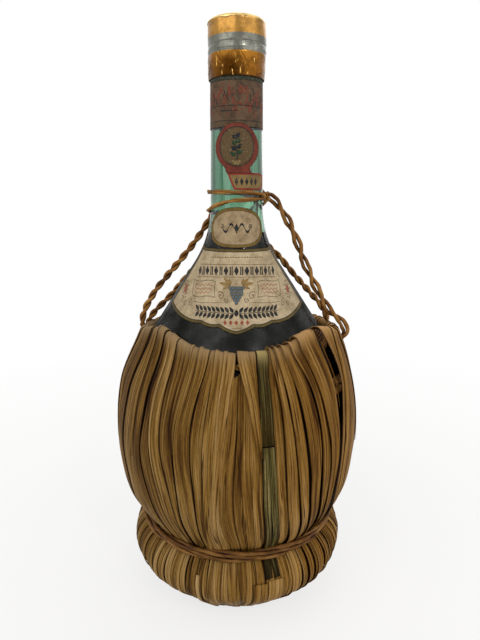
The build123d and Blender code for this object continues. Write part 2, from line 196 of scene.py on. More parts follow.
def spacedLine(points, step):
    points = np.asarray(points, float)
    reach = np.concatenate([[0], np.cumsum(np.linalg.norm(np.diff(points, axis=0), axis=1))])
    spots = np.linspace(0, reach[-1], max(4, int(reach[-1] / step) + 1))
    return spots, np.column_stack([np.interp(spots, reach, points[:, i]) for i in range(3)])


def sideways(line):
    # two directions across a line, carried along it without twisting
    ahead = np.gradient(line, axis=0)
    ahead /= np.linalg.norm(ahead, axis=1)[:, None]
    side = np.cross(ahead[0], (0.13, 0.2, 1.0))
    sides = []
    for way in ahead:
        side = side - way * side.dot(way)
        side = side / np.linalg.norm(side)
        sides.append(side)
    sides = np.array(sides)
    return sides, np.cross(ahead, sides)


def twistStrands(line, strandRadius, spread, pitch, phase, seed, strands=2, taper=2.5):
    # each strand winds round the line; its outside has ridges of rolled leaf
    sides = 12
    reach, line = spacedLine(line, 0.7)
    across, up = sideways(line)
    points, faces, place, groove = [], [], [], []
    ends = np.clip(np.minimum(reach, reach[-1] - reach) / taper, 0.25, 1) ** 0.6
    for strand in range(strands):
        wander = smoothRandom(seed + strand, reach, 9)
        angle = 2 * math.pi * (reach / pitch + strand / strands) + phase + 0.35 * wander
        path = line + (across * np.cos(angle)[:, None] + up * np.sin(angle)[:, None]) * (spread * ends)[:, None]
        sideA, sideB = sideways(path)
        girth = strandRadius * ends * (1 + 0.09 * smoothRandom(seed + 5 + strand, reach, 5))
        first = len(points)
        for row in range(len(path)):
            for side in range(sides):
                turn = 2 * math.pi * side / sides
                ridge = 1 + 0.07 * math.cos(3 * turn - reach[row] * 1.1 + seed)
                away = sideA[row] * math.cos(turn) + sideB[row] * math.sin(turn)
                spot = path[row] + away * girth[row] * ridge
                points.append(spot)
                place.append((reach[row], side * girth[row] * 0.52 + reach[row] * 0.25, seed * 3 + strand * 11))
                # groove: how near a spot lies to the cord's middle, where the painted shade of the grooves goes
                toMiddle = np.linalg.norm(spot - line[row]) / (strandRadius + 0.01)
                groove.append(min(1.0, max(0.0, 1.25 - toMiddle)))
        faces += gridFaces(len(path), sides, first, closed=True)
        faces.append(tuple(range(first, first + sides))[::-1])
        faces.append(tuple(range(len(points) - sides, len(points))))
    return points, faces, {"cordPlace": place, "cordGroove": groove}


# The carrying cord: points of the part's own route, from the neck to the rim
carryCord = {
    "left": {"diameter": 4.0, "length": 86.2, "pitch": 15.0, "strand": 1.04, "spread": 1.0, "phase": 0.4, "route": [
        (-12.6, 11.6, 229.2), (-17.8, 7.4, 221.0), (-24.6, 4.4, 210.6), (-34.0, 3.0, 199.4),
        (-45.6, 3.0, 186.4), (-53.4, 3.0, 175.2), (-57.6, 3.2, 165.8), (-57.4, 4.2, 158.9)]},
    "right": {"diameter": 5.2, "length": 113.2, "pitch": 29.0, "strand": 1.15, "spread": 1.5, "phase": 1.9, "route": [
        (12.6, 12.8, 239.4), (18.8, 6.6, 238.6), (27.4, 3.6, 227.8), (34.6, 3.0, 213.4),
        (40.0, 3.0, 198.2), (47.6, 3.0, 183.4), (53.8, 3.0, 172.2), (60.4, 3.0, 165.2),
        (65.4, 3.6, 161.0), (67.0, 5.0, 154.4), (62.4, 6.6, 149.6)]},
    "back": {"diameter": 4.0, "length": 167.4, "pitch": 14.0, "strand": 1.02, "spread": 1.0, "phase": 1.0, "route": [
        (-56.4, 11.6, 159.6), (-53.0, 13.4, 166.0), (-43.8, 18.0, 174.2), (-32.8, 20.4, 186.4),
        (-21.6, 21.2, 199.6), (-11.0, 20.4, 212.4), (0.0, 19.4, 219.0), (11.2, 20.4, 213.8),
        (24.4, 20.6, 203.0), (36.2, 19.0, 189.0), (46.8, 17.0, 177.4), (54.8, 13.6, 168.6),
        (57.0, 11.4, 160.4)]},
}


def routeLine(route):
    curve = bpy.data.curves.new("route", "CURVE")
    curve.dimensions = "3D"
    curve.resolution_u = 24
    spline = curve.splines.new("NURBS")
    spline.points.add(len(route) - 1)
    for spot, point in zip(spline.points, route):
        spot.co = (*[c * mm for c in point], 1)
    spline.order_u = 3
    spline.use_endpoint_u = True
    spline.resolution_u = 24
    holder = bpy.data.objects.new("route", curve)
    bpy.context.scene.collection.objects.link(holder)
    bpy.context.view_layer.update()
    mesh = bpy.data.meshes.new_from_object(holder)
    line = np.array([v.co for v in mesh.vertices]) / mm
    bpy.data.objects.remove(holder)
    bpy.data.meshes.remove(mesh)
    return line


for seed, (side, cord) in enumerate(carryCord.items()):
    line = routeLine(cord["route"])
    points, faces, values = twistStrands(line, cord["strand"], cord["spread"], cord["pitch"], cord["phase"], seed + 2)
    piece = makePiece(side + "CarryCord", "bottle", cordMaterial, points, faces,
                      [f"carry_cord_{side}"], values)
print("carrying cords twisted")

# The glass flask's outside, as arcs in the half section: centre, radius, first and last angle
flask = {"belly": 68.0, "bellyHeight": 102.0, "lower": 113.0, "bottom": 60.0, "shoulder": 104.0, "slope": 33.0,
         "neck": 14.8, "flare": 60.0, "mouth": 324.5, "lipHeight": 12.0, "neckTop": 13.7, "lip": 14.5,
         "wall": 2.5, "bore": 9.9, "boreFlare": 76.0, "foot": 14.0, "wineLevel": 217.0}
lipFoot = flask["mouth"] - flask["lipHeight"]


def arcLine(centre, radius, start, end, step=1.5):
    count = max(3, int(abs(math.radians(end - start)) * radius / step) + 1)
    turns = np.radians(np.linspace(start, end, count))
    return np.column_stack([centre[0] + radius * np.cos(turns), centre[1] + radius * np.sin(turns)])


def flaskSide(inset, neck, flare, top):
    f = flask
    slope = math.radians(f["slope"])
    high = f["bellyHeight"]
    lowCentre, bottomCentre = (f["belly"] - f["lower"], high), (0, f["foot"] + f["bottom"])
    lowTurn = math.degrees(math.atan2(bottomCentre[1] - lowCentre[1], bottomCentre[0] - lowCentre[0]))
    shoulderRadius = f["shoulder"] - inset
    shoulderTop = (f["belly"] - f["shoulder"] + shoulderRadius * math.cos(slope),
                   high + shoulderRadius * math.sin(slope))
    flareFoot = neck + flare * (1 - math.cos(slope))
    flareLow = shoulderTop[1] + (shoulderTop[0] - flareFoot) / math.tan(slope)
    flareHigh = flareLow + flare * math.sin(slope)
    straight = np.linspace(0, 1, 24)[1:-1, None]
    cone = np.array(shoulderTop) * (1 - straight) + np.array((flareFoot, flareLow)) * straight
    rise = np.linspace(0, 1, 40)[1:, None]
    stem = np.array((neck, flareHigh)) * (1 - rise) + np.array(top) * rise
    return np.vstack([
        arcLine(bottomCentre, f["bottom"] - inset, -90, lowTurn),
        arcLine(lowCentre, f["lower"] - inset, lowTurn, 0)[1:],
        arcLine((f["belly"] - f["shoulder"], high), shoulderRadius, 0, f["slope"])[1:],
        cone, arcLine((neck + flare, flareHigh), flare, 180 + f["slope"], 180), stem])


def lathePoints(section, sides, wave):
    # the turning of a half section; wave gives a change of radius by turn and height
    turns = [2 * math.pi * side / sides for side in range(sides)]
    return [roundAxis(turn, r + (wave(turn, r, z) if r > 1e-6 else 0), z) for r, z in section for turn in turns]


def turnSolid(section, low, high, sides, wave):
    # a turned solid, closed at the axis at a low and a high end
    points = lathePoints(section, sides, wave)
    faces = gridFaces(len(section), sides, closed=True)
    for height, first, way in ((low, 0, -1), (high, (len(section) - 1) * sides, 1)):
        points.append((0, 0, height))
        for side in range(sides):
            faces.append((len(points) - 1, *(first + side, first + (side + 1) % sides)[::way]))
    return points, faces


# Blown glass, green from the iron in the sand: clear with slow ripples, drawn lines up the neck and
# small seeds, and old cellar dust on the shoulder where nobody wipes it.
glassFinish = {"tint": "#c2e4d0", "line": "#4c7863", "side": "#94c2a8", "absorbs": "#5a9c78", "density": 142.0,
               "dust": "#11120d", "speck": "#857f6b", "ripple": 9.0, "drawn": 2.2, "sides": 160}


def blownGlassMaterial():
    f = glassFinish
    material, tree, shader = newMaterial("blownGreenGlass", {
        "Base Color": f["tint"], "Roughness": 0.02, "IOR": 1.5, "Transmission Weight": 1.0, "Specular IOR Level": 0.3})
    place = objectPlace(tree)
    split = addNode(tree, "SeparateXYZ", {0: place}).node.outputs
    height = split["Z"]
    slow = grain(tree, place, 1000 / f["ripple"], 2.0)
    drawn = grain(tree, place, (1000 / f["drawn"], 1000 / f["drawn"], 60 / f["drawn"]), 2.0)
    relieve(shader, maths(tree, "MULTIPLY_ADD", drawn, 0.6, slow), 0.16, 0.0005)
    # painted shade: two dark lines up both sides of the neck above 231 mm, just inside its edges as seen from the
    # front, where a round glass neck looks dark
    aside = span(tree, maths(tree, "ABSOLUTE", split["X"]), 11 * mm, 15 * mm)
    paintedEdgeShade = ramp(tree, aside, (0.1, f["tint"]), (0.18, f["line"]), (0.4, f["line"]), (0.55, f["side"]))
    fill(shader, {"Base Color": mix(tree, span(tree, height, 231 * mm, 239 * mm), f["tint"], paintedEdgeShade),
                  "Roughness": span(tree, height, 222 * mm, 200 * mm, 0.03, 0.26)})
    # dust: thick by the straw, thin up the shoulder, none on the neck
    fall = span(tree, height, 219 * mm, 209 * mm, 0.0, 0.84)
    patchy = ramp(tree, grain(tree, place, 75.0, 5.0, 0.6), (0.36, 0.62), (0.62, 1.0))
    specks = grain(tree, place, 420.0, 8.0, 0.75)
    dirt = ramp(tree, specks, (0.0, f["dust"]), (0.66, f["dust"]), (0.73, f["speck"]))
    dust = addNode(tree, "BsdfPrincipled", {"Roughness": 0.9, "Specular IOR Level": 0.0, "Base Color": dirt})
    dusty = addNode(tree, "MixShader", {0: maths(tree, "MULTIPLY", fall, patchy), 1: shader.outputs[0], 2: dust})
    body = addNode(tree, "VolumeAbsorption", {"Color": f["absorbs"], "Density": f["density"]})
    fill(tree.nodes["Material Output"], {"Surface": dusty, "Volume": body})
    return material


def makeFlask():
    f = flask
    outside = flaskSide(0, f["neck"], f["flare"], (f["neckTop"], lipFoot - 0.8))
    lip = np.vstack([[(f["neckTop"] + 0.3, lipFoot - 0.4), (f["lip"], lipFoot + 0.2), (f["lip"], lipFoot + 5)],
                     arcLine((f["lip"] - 0.8, f["mouth"] - 0.8), 0.8, 0, 90, 0.3),
                     arcLine((f["bore"] + 0.5, f["mouth"] - 0.5), 0.5, 90, 180, 0.3)])
    inside = flaskSide(f["wall"], f["bore"], f["boreFlare"], (f["bore"], f["mouth"] - 0.6))[::-1]
    section = np.vstack([outside, lip, inside])

    def blownWave(turn, r, z):
        spot = Vector((math.cos(turn) * 1.3, math.sin(turn) * 1.3, z / 30))
        return 0.16 * noise.noise(spot) * min(1, r / 30)
    points, faces = turnSolid(section[1:-1], section[0][1], section[-1][1], glassFinish["sides"], blownWave)
    makePiece("glassFlask", "bottle", blownGlassMaterial(), points, faces, ["glass_flask"])
    # the wine wets the glass, so it reaches a hair into it and climbs a little at its edge
    wine = flaskSide(f["wall"] - 0.05, f["bore"] + 0.05, f["boreFlare"], (f["bore"], f["mouth"]))
    wine = wine[wine[:, 1] <= f["wineLevel"] + 0.6]
    r, z = wine[-1]
    wine = np.vstack([wine, [(r - 0.25, z - 0.25), (r - 1.2, z - 0.6), (r * 0.5, z - 0.65)]])
    # old red wine, so deep that only the thin neck of it lets light through; a still liquid
    material = newMaterial("oldRedWine", {
        "Base Color": "#140a07", "Roughness": 0.03, "IOR": 1.34, "Specular IOR Level": 0.0})[0]
    points, faces = turnSolid(wine[1:], wine[0][1], wine[-1][1], glassFinish["sides"], blownWave)
    makePiece("redWine", "bottle", material, points, faces, ["wine_fill"])


makeFlask()
print("flask blown and filled")

# The straw basket. Its line runs from inside the rim, over the fold, down the belly to the waist,
# out over the base and in again to the floor.
basket = {"belly": 72.8, "bellyHeight": 102.0, "foldCentre": (57.0, 158.4), "fold": 3.3, "rimTail": 245.0,
          "bulgeCentre": (49.2, 30.0), "bulge": 16.0, "waist": 3.0, "footSlope": 45.0,
          "lowerRadius": 96.4, "thickness": 0.36}


def basketCourse():
    b = basket
    drawIn, rise = b["belly"] - b["foldCentre"][0], b["foldCentre"][1] - b["bellyHeight"]
    upper = (drawIn ** 2 + rise ** 2 - b["fold"] ** 2) / (2 * (drawIn - b["fold"]))
    upperCentre, lowerCentre = (b["belly"] - upper, b["bellyHeight"]), (b["belly"] - b["lowerRadius"], b["bellyHeight"])
    foldTurn = math.degrees(math.atan2(rise, b["foldCentre"][0] - upperCentre[0]))
    reachA, reachB = b["lowerRadius"] + b["waist"], b["bulge"] + b["waist"]
    between = np.subtract(b["bulgeCentre"], lowerCentre)
    far = np.hypot(*between)
    along = (reachA ** 2 - reachB ** 2 + far ** 2) / (2 * far)
    aside = math.sqrt(reachA ** 2 - along ** 2)
    waistCentre = np.array(lowerCentre) + (along * between + aside * np.array((-between[1], between[0]))) / far
    lowerEnd = math.degrees(math.atan2(*(waistCentre - lowerCentre)[::-1]))
    bulgeStart = math.degrees(math.atan2(*(waistCentre - b["bulgeCentre"])[::-1]))
    parts = [(b["foldCentre"], b["fold"], b["rimTail"], foldTurn, 1), (upperCentre, upper, foldTurn, 0, 1),
             (lowerCentre, b["lowerRadius"], 0, lowerEnd, 1),
             (waistCentre, b["waist"], lowerEnd + 180, bulgeStart + 180, -1),
             (b["bulgeCentre"], b["bulge"], bulgeStart, -b["footSlope"], 1)]
    spots, outs = [], []
    for centre, radius, start, end, way in parts:
        line = arcLine(centre, radius, start, end, 0.4)
        spots.append(line)
        outs.append((line - centre) / radius * way)
    foot = spots[-1][-1]
    down = np.linspace(0, 1, 12)[1:, None]
    slant = math.radians(b["footSlope"])
    spots.append(foot + down * np.array((-foot[1] / math.tan(slant), -foot[1])))
    outs.append(np.tile((math.sin(slant), -math.cos(slant)), (11, 1)))
    spots, outs = np.vstack(spots), np.vstack(outs)
    reach = np.concatenate([[0], np.cumsum(np.hypot(*np.diff(spots, axis=0).T))])
    return reach, spots, outs


courseReach, courseSpots, courseOuts = basketCourse()
crestReach = courseReach[np.argmax(courseSpots[:, 1])]
overFold = courseReach >= crestReach


def reachAt(height):
    return float(np.interp(-height, -courseSpots[overFold, 1], courseReach[overFold]))


# Dried marsh-grass leaves, split and laid wet: long parallel veins, a satin skin, a painted highlight along the crest
# of the fold, darker and purplish along the edges with painted shade where the leaves meet, no two leaves of one
# colour.
strawFinish = {"vein": 0.8, "deep": "#0a0501", "dark": "#2e1805", "brown": "#60431a", "tan": "#80602c",
               "pale": "#ac8d5e", "crestLit": "#937a57", "crestLitRight": "#b8956a", "edge": "#28140b", "roughness": 0.6}
greenFinish = {"vein": 0.8, "deep": "#090801", "dark": "#1b1604", "brown": "#34280b", "tan": "#5a5431",
               "pale": "#a09063", "crestLit": "#a09063", "crestLitRight": "#a09063", "edge": "#171707", "roughness": 0.52}


def leafMaterial(name, f):
    material, tree, shader = newMaterial(name, {"Roughness": f["roughness"], "Specular IOR Level": 0.05})
    place = pieceValue(tree, "leafPlace", "Vector")
    veins = grain(tree, place, (1 / f["vein"], 0.018, 1), 5.0, 0.62)
    broad = grain(tree, place, (0.3, 0.022, 1), 3.0)
    flecks = grain(tree, place, (1.2, 0.35, 1), 7.0, 0.8)
    level = pieceValue(tree, "leafTone")
    for part, weight in ((veins, 0.9), (broad, 0.55), (flecks, 0.3)):
        level = maths(tree, "MULTIPLY_ADD", part, weight, level)
    # the deep stop, for the lowest tones, is painted shade: it darkens the inner leaves that show in the gaps
    bands = ramp(tree, maths(tree, "SUBTRACT", level, 0.37), (0.1, f["deep"]), (0.25, f["dark"]), (0.42, f["brown"]),
                 (0.56, f["tan"]), (0.84, f["pale"]))
    # split lines and dark veins, drawn about twice as wide as real ones so that they show
    hairs = ramp(tree, grain(tree, place, (0.55, 0.01, 1), 1.0), (0.37, 0.0), (0.395, 0.5), (0.42, 0.0), (0.465, 0.0),
                 (0.49, 0.85), (0.51, 0.85), (0.535, 0.0), (0.585, 0.0), (0.61, 0.55), (0.635, 0.0))
    colour = mix(tree, hairs, bands, f["dark"])
    # painted highlight along the crest of the fold, paler towards the right; the colour is also multiplied warmer
    # towards the right
    across = addNode(tree, "SeparateXYZ", {0: objectPlace(tree)})
    fold = mix(tree, span(tree, across, 12 * mm, 45 * mm), f["crestLit"], f["crestLitRight"])
    colour = mix(tree, pieceValue(tree, "leafBleach"), colour, fold)
    # darker, purplish edges: the dried edges' own colour, with painted shade where neighbouring leaves meet
    colour = mix(tree, ramp(tree, pieceValue(tree, "leafEdge"), (0.88, 0.0), (1.0, 0.65)), colour, f["edge"])
    warm = mix(tree, span(tree, across, -30 * mm, 60 * mm), colour, "#fff0cf", "MULTIPLY")
    fill(shader, {"Base Color": warm})
    relieve(shader, veins, 0.8, 0.0004)
    return material


strawMaterial = leafMaterial("driedMarshGrass", strawFinish)
greenMaterial = leafMaterial("greenMarshGrass", greenFinish)

seamHeights = [160, 152, 140, 125, 110, 95, 80, 65, 54, 46, 30, 0]
# Seams between the leaves at the front, as azimuths from the front at those heights down to 54 mm
frontSeams = [
    [-64.0, -63.0, -64.0, -68.0, -70.0, -70.0, -68.0, -66.0, -66.0],
    [-55.0, -54.0, -56.0, -60.0, -62.0, -62.0, -60.0, -58.5, -58.8],
    [-49.0, -47.0, -46.5, -49.0, -50.0, -51.0, -50.0, -47.5, -47.0],
    [-42.0, -40.0, -41.0, -43.0, -45.0, -44.0, -41.5, -38.5, -38.0],
    [-37.5, -35.5, -37.0, -39.0, -39.0, -37.0, -34.5, -31.5, -30.5],
    [-32.0, -30.8, -32.0, -33.5, -33.0, -30.0, -28.0, -26.8, -26.4],
    [-22.5, -22.5, -24.3, -26.3, -26.3, -25.4, -25.1, -23.9, -23.5],
    [-17.0, -17.5, -20.0, -23.0, -23.0, -21.0, -19.8, -19.2, -19.5],
    [-12.8, -14.0, -16.7, -18.7, -18.3, -17.4, -17.0, -16.6, -16.6],
    [-9.0, -10.0, -11.5, -13.1, -13.5, -13.2, -13.7, -14.2, -14.4],
    [-4.9, -5.7, -7.1, -8.2, -9.1, -9.9, -11.1, -11.7, -11.6],
    [-0.3, -1.4, -2.6, -3.9, -5.4, -6.6, -7.2, -5.6, -3.5],
    [1.0, 1.0, 0.6, 0.3, -0.5, -1.5, -1.1, 0.4, 1.9],
    [3.6, 3.4, 3.0, 2.2, 1.2, 1.5, 2.3, 4.0, 5.5],
    [6.4, 6.4, 6.2, 5.8, 5.6, 6.5, 7.4, 8.7, 9.9],
    [9.6, 9.4, 9.6, 9.7, 10.3, 10.8, 11.5, 13.0, 14.4],
    [15.8, 14.8, 15.0, 15.0, 15.8, 16.7, 17.7, 19.7, 21.9],
    [18.7, 18.4, 18.7, 19.3, 20.0, 20.6, 22.0, 24.8, 28.0],
    [21.4, 21.3, 22.0, 23.6, 24.6, 26.0, 27.6, 30.4, 33.7],
    [25.7, 26.0, 27.0, 28.9, 30.1, 31.5, 32.8, 35.1, 38.4],
    [30.6, 31.7, 34.0, 37.0, 37.8, 37.8, 38.5, 40.4, 43.4],
    [35.4, 36.3, 38.3, 41.3, 43.2, 43.8, 43.6, 43.8, 45.8],
    [45.2, 46.0, 48.2, 49.4, 48.8, 48.6, 47.6, 47.4, 51.0],
    [60.5, 58.6, 56.0, 52.8, 50.4, 49.6, 49.2, 49.8, 53.5],
    [66.0, 63.2, 60.0, 57.0, 54.6, 53.6, 53.2, 54.5, 58.0],
    [72.0, 70.0, 66.0, 64.0, 62.0, 60.5, 60.0, 61.0, 64.0],
]
# By the number of the seam at their left: the green leaf and the opening; leaves whose top has slipped, with its
# height; half the width of the open gaps; and the degrees a leaf reaches over its neighbour at the rim
greenLeft, openLeft = 15, 22
slippedLeaves = {11: 151.0, 12: 152.5, 13: 150.0, 14: 150.0}
openSeams = {1: 1.25, 2: 0.6, 3: 0.7, 5: 0.45, 7: 0.2, 19: 0.5, 20: 0.4, 24: 0.7}
rimLaps = {17: 2.6, 18: 3.2, 19: 4.2, 20: 4.6, 21: 3.0, 23: 9.5, 7: 1.6, 9: 1.4}


def allSeams():
    dice = random.Random(12)
    seams = [list(row) for row in frontSeams]
    azimuth = 72.0
    while azimuth < 291.0:
        azimuth += dice.uniform(3.6, 6.2)
        row, seed = [], dice.uniform(0, 50)
        for height in seamHeights[:9]:
            row.append(azimuth + 0.9 * noise.noise(Vector((height / 40, seed, 0))) * 1.8)
        seams.append(row)
    for row in seams:
        row += [row[-1] + dice.uniform(-0.3, 0.3), row[-1] + dice.uniform(-0.8, 0.8), row[-1] + dice.uniform(-1.2, 1.2)]
    return seams


# The basket has settled with age: its fold has climbed the shoulder either side of the front, the rim leans
# to the right and the belly hangs fuller. Pairs of azimuth from the front and millimetres.
settling = {
    "rise": ((-100, 0), (-90, 0.5), (-80, 1.6), (-72, 3.2), (-64, 5.2), (-56, 7.2), (-48, 8.0), (-43, 7.4), (-38, 6.0),
             (-33, 4.7), (-28, 3.3), (-23, 1.9), (-17, 0.8), (-8, 0.2), (0, 0), (18, 0.4), (25, 1.2), (31, 2.6),
             (36, 5.0), (40, 6.4), (46, 6.8), (58, 6.4), (67, 4.8), (76, 2.0), (86, 0), (180, 0)),
    "lean": ((-180, 0), (-130, 1.4), (-90, 2.6), (-64, 3.6), (-48, 4.4), (-33, 2.6), (-20, 0.8), (0, 0), (25, 0.5),
             (40, 3.4), (58, 3.0), (70, 1.2), (84, -1.0), (110, -1.2), (180, 0)),
    "riseFrom": (118, 156), "leanFrom": (133, 157), "fuller": 1.6, "fullAt": 68, "fullOver": 14,
}


def smoothStep(values, low, high):
    share = np.clip((values - low) / (high - low), 0, 1)
    return share * share * (3 - 2 * share)


def settled(points):
    points = np.array(points, float)
    across, away, height = points.T
    azimuth, reach = np.degrees(np.arctan2(across, -away)), np.hypot(across, away)
    rise, lean = (np.interp(azimuth, *zip(*settling[key])) * smoothStep(height, *settling[key + "From"])
                  for key in ("rise", "lean"))
    belly = settling["fuller"] * np.exp(-((height - settling["fullAt"]) / settling["fullOver"]) ** 2)
    share = 1 + (belly - lean) / np.maximum(reach, 1)
    return np.column_stack([across * share, away * share, height + rise])


class LeafBundle:
    def __init__(self):
        self.points, self.faces = [], []
        self.values = {"leafPlace": [], "leafTone": [], "leafEdge": [], "leafBleach": []}


def astride(line, half):
    # the left and right edges of a leaf that lies along a line of azimuths
    return [a - half for a in line], [a + half for a in line]


def layLeaf(bundle, left, right, level, seed, tone, top=None, bottom=0.0, crown=0.2, edges=(0.0, 0.0), gaps=(0.2, 0.2),
            columns=15, rows=96, cutSlant=0.0, creases=2, crestHighlight=0.95, tip=0.0, corner=0.3, splits=(0.0, 0.0)):
    # edges: how far the leaf's left and right edges stand up; gaps: what it keeps from its seams;
    # corner: how far its left corner stands up at the fold; splits: how far its seams part over the base
    dice = random.Random(seed)
    start = 0.0 if top is None else reachAt(top)
    end = min(reachAt(max(bottom, 0.0)), courseReach[-1])
    reach = np.linspace(start, end, rows)
    order = np.array([reachAt(h) for h in seamHeights])
    leftAt, rightAt = (np.convolve(np.pad(np.interp(reach, order, side), 3, "edge"), np.ones(7) / 7, "valid")
                       for side in (left, right))
    degree = np.interp(reach, courseReach, courseSpots[:, 0]) * math.pi / 180
    parted = np.exp(-((reach - reachAt(27)) / 9) ** 2)
    leftAt = leftAt + (gaps[0] + splits[0] * parted + 0.28 * smoothRandom(seed, reach, 30)) / degree
    rightAt = rightAt - (gaps[1] + splits[1] * parted + 0.28 * smoothRandom(seed + 0.5, reach, 30)) / degree
    narrow = np.clip((end - reach) / tip, 0.12, 1) ** 0.7 if tip else np.ones(rows)
    middle, half = (leftAt + rightAt) / 2, np.maximum((rightAt - leftAt) / 2, 0.4) * narrow
    swell = 0.16 * smoothRandom(seed + 1.5, reach, 24)
    wander = [0.12 * smoothRandom(seed + 2.5 + side, reach, 35) for side in (0, 0.5)]
    folds = [(dice.uniform(-0.75, 0.75), dice.uniform(0.08, 0.26), dice.uniform(0, 9)) for _ in range(creases)]
    fray = [dice.uniform(-1, 1) for _ in range(columns)]
    first, values = len(bundle.points), bundle.values
    for row in range(rows):
        for column in range(columns):
            i = 2 * column / (columns - 1) - 1
            there, share = reach[row], row / (rows - 1)
            if share > 0.9:
                there -= (share - 0.9) / 0.1 * (cutSlant * i + 0.35 * abs(fray[column]))
            r, z, outR, outZ = (np.interp(there, courseReach, line) for line in (*courseSpots.T, *courseOuts.T))
            side = 0 if i < 0 else 1
            lift = level + swell[row] + crown * (1 - i * i) + (edges[side] + wander[side][row]) * abs(i) ** 1.5
            lift += corner * max(0.0, -i) * math.exp(-((there - crestReach) / 5) ** 2)
            for spot, depth, drift in folds:
                away = (i - spot - 0.1 * math.sin(there / 31 + drift)) / 0.055
                lift -= depth * math.exp(-away * away)
            r, z = r + outR * lift, max(z + outZ * lift, 0.0)
            if bottom <= 0:
                z *= min(1.0, (1 - share) / 0.04)
            bundle.points.append(roundAxis(math.radians(middle[row] + half[row] * i), r, z))
            own = tone if np.isscalar(tone) else tone[0] + (tone[1] - tone[0]) * share ** 3
            values["leafPlace"].append((half[row] * degree[row] * i + seed * 17.3, there, seed * 3.1))
            values["leafTone"].append(own + 0.06 * min(1.0, max(0.0, (125 - z) / 45)))
            values["leafEdge"].append(abs(i))
            values["leafBleach"].append(min(1, math.exp(-((there - crestReach) / 5.4) ** 2) * crestHighlight))
    bundle.faces += [face[::-1] for face in gridFaces(rows, columns, first)]


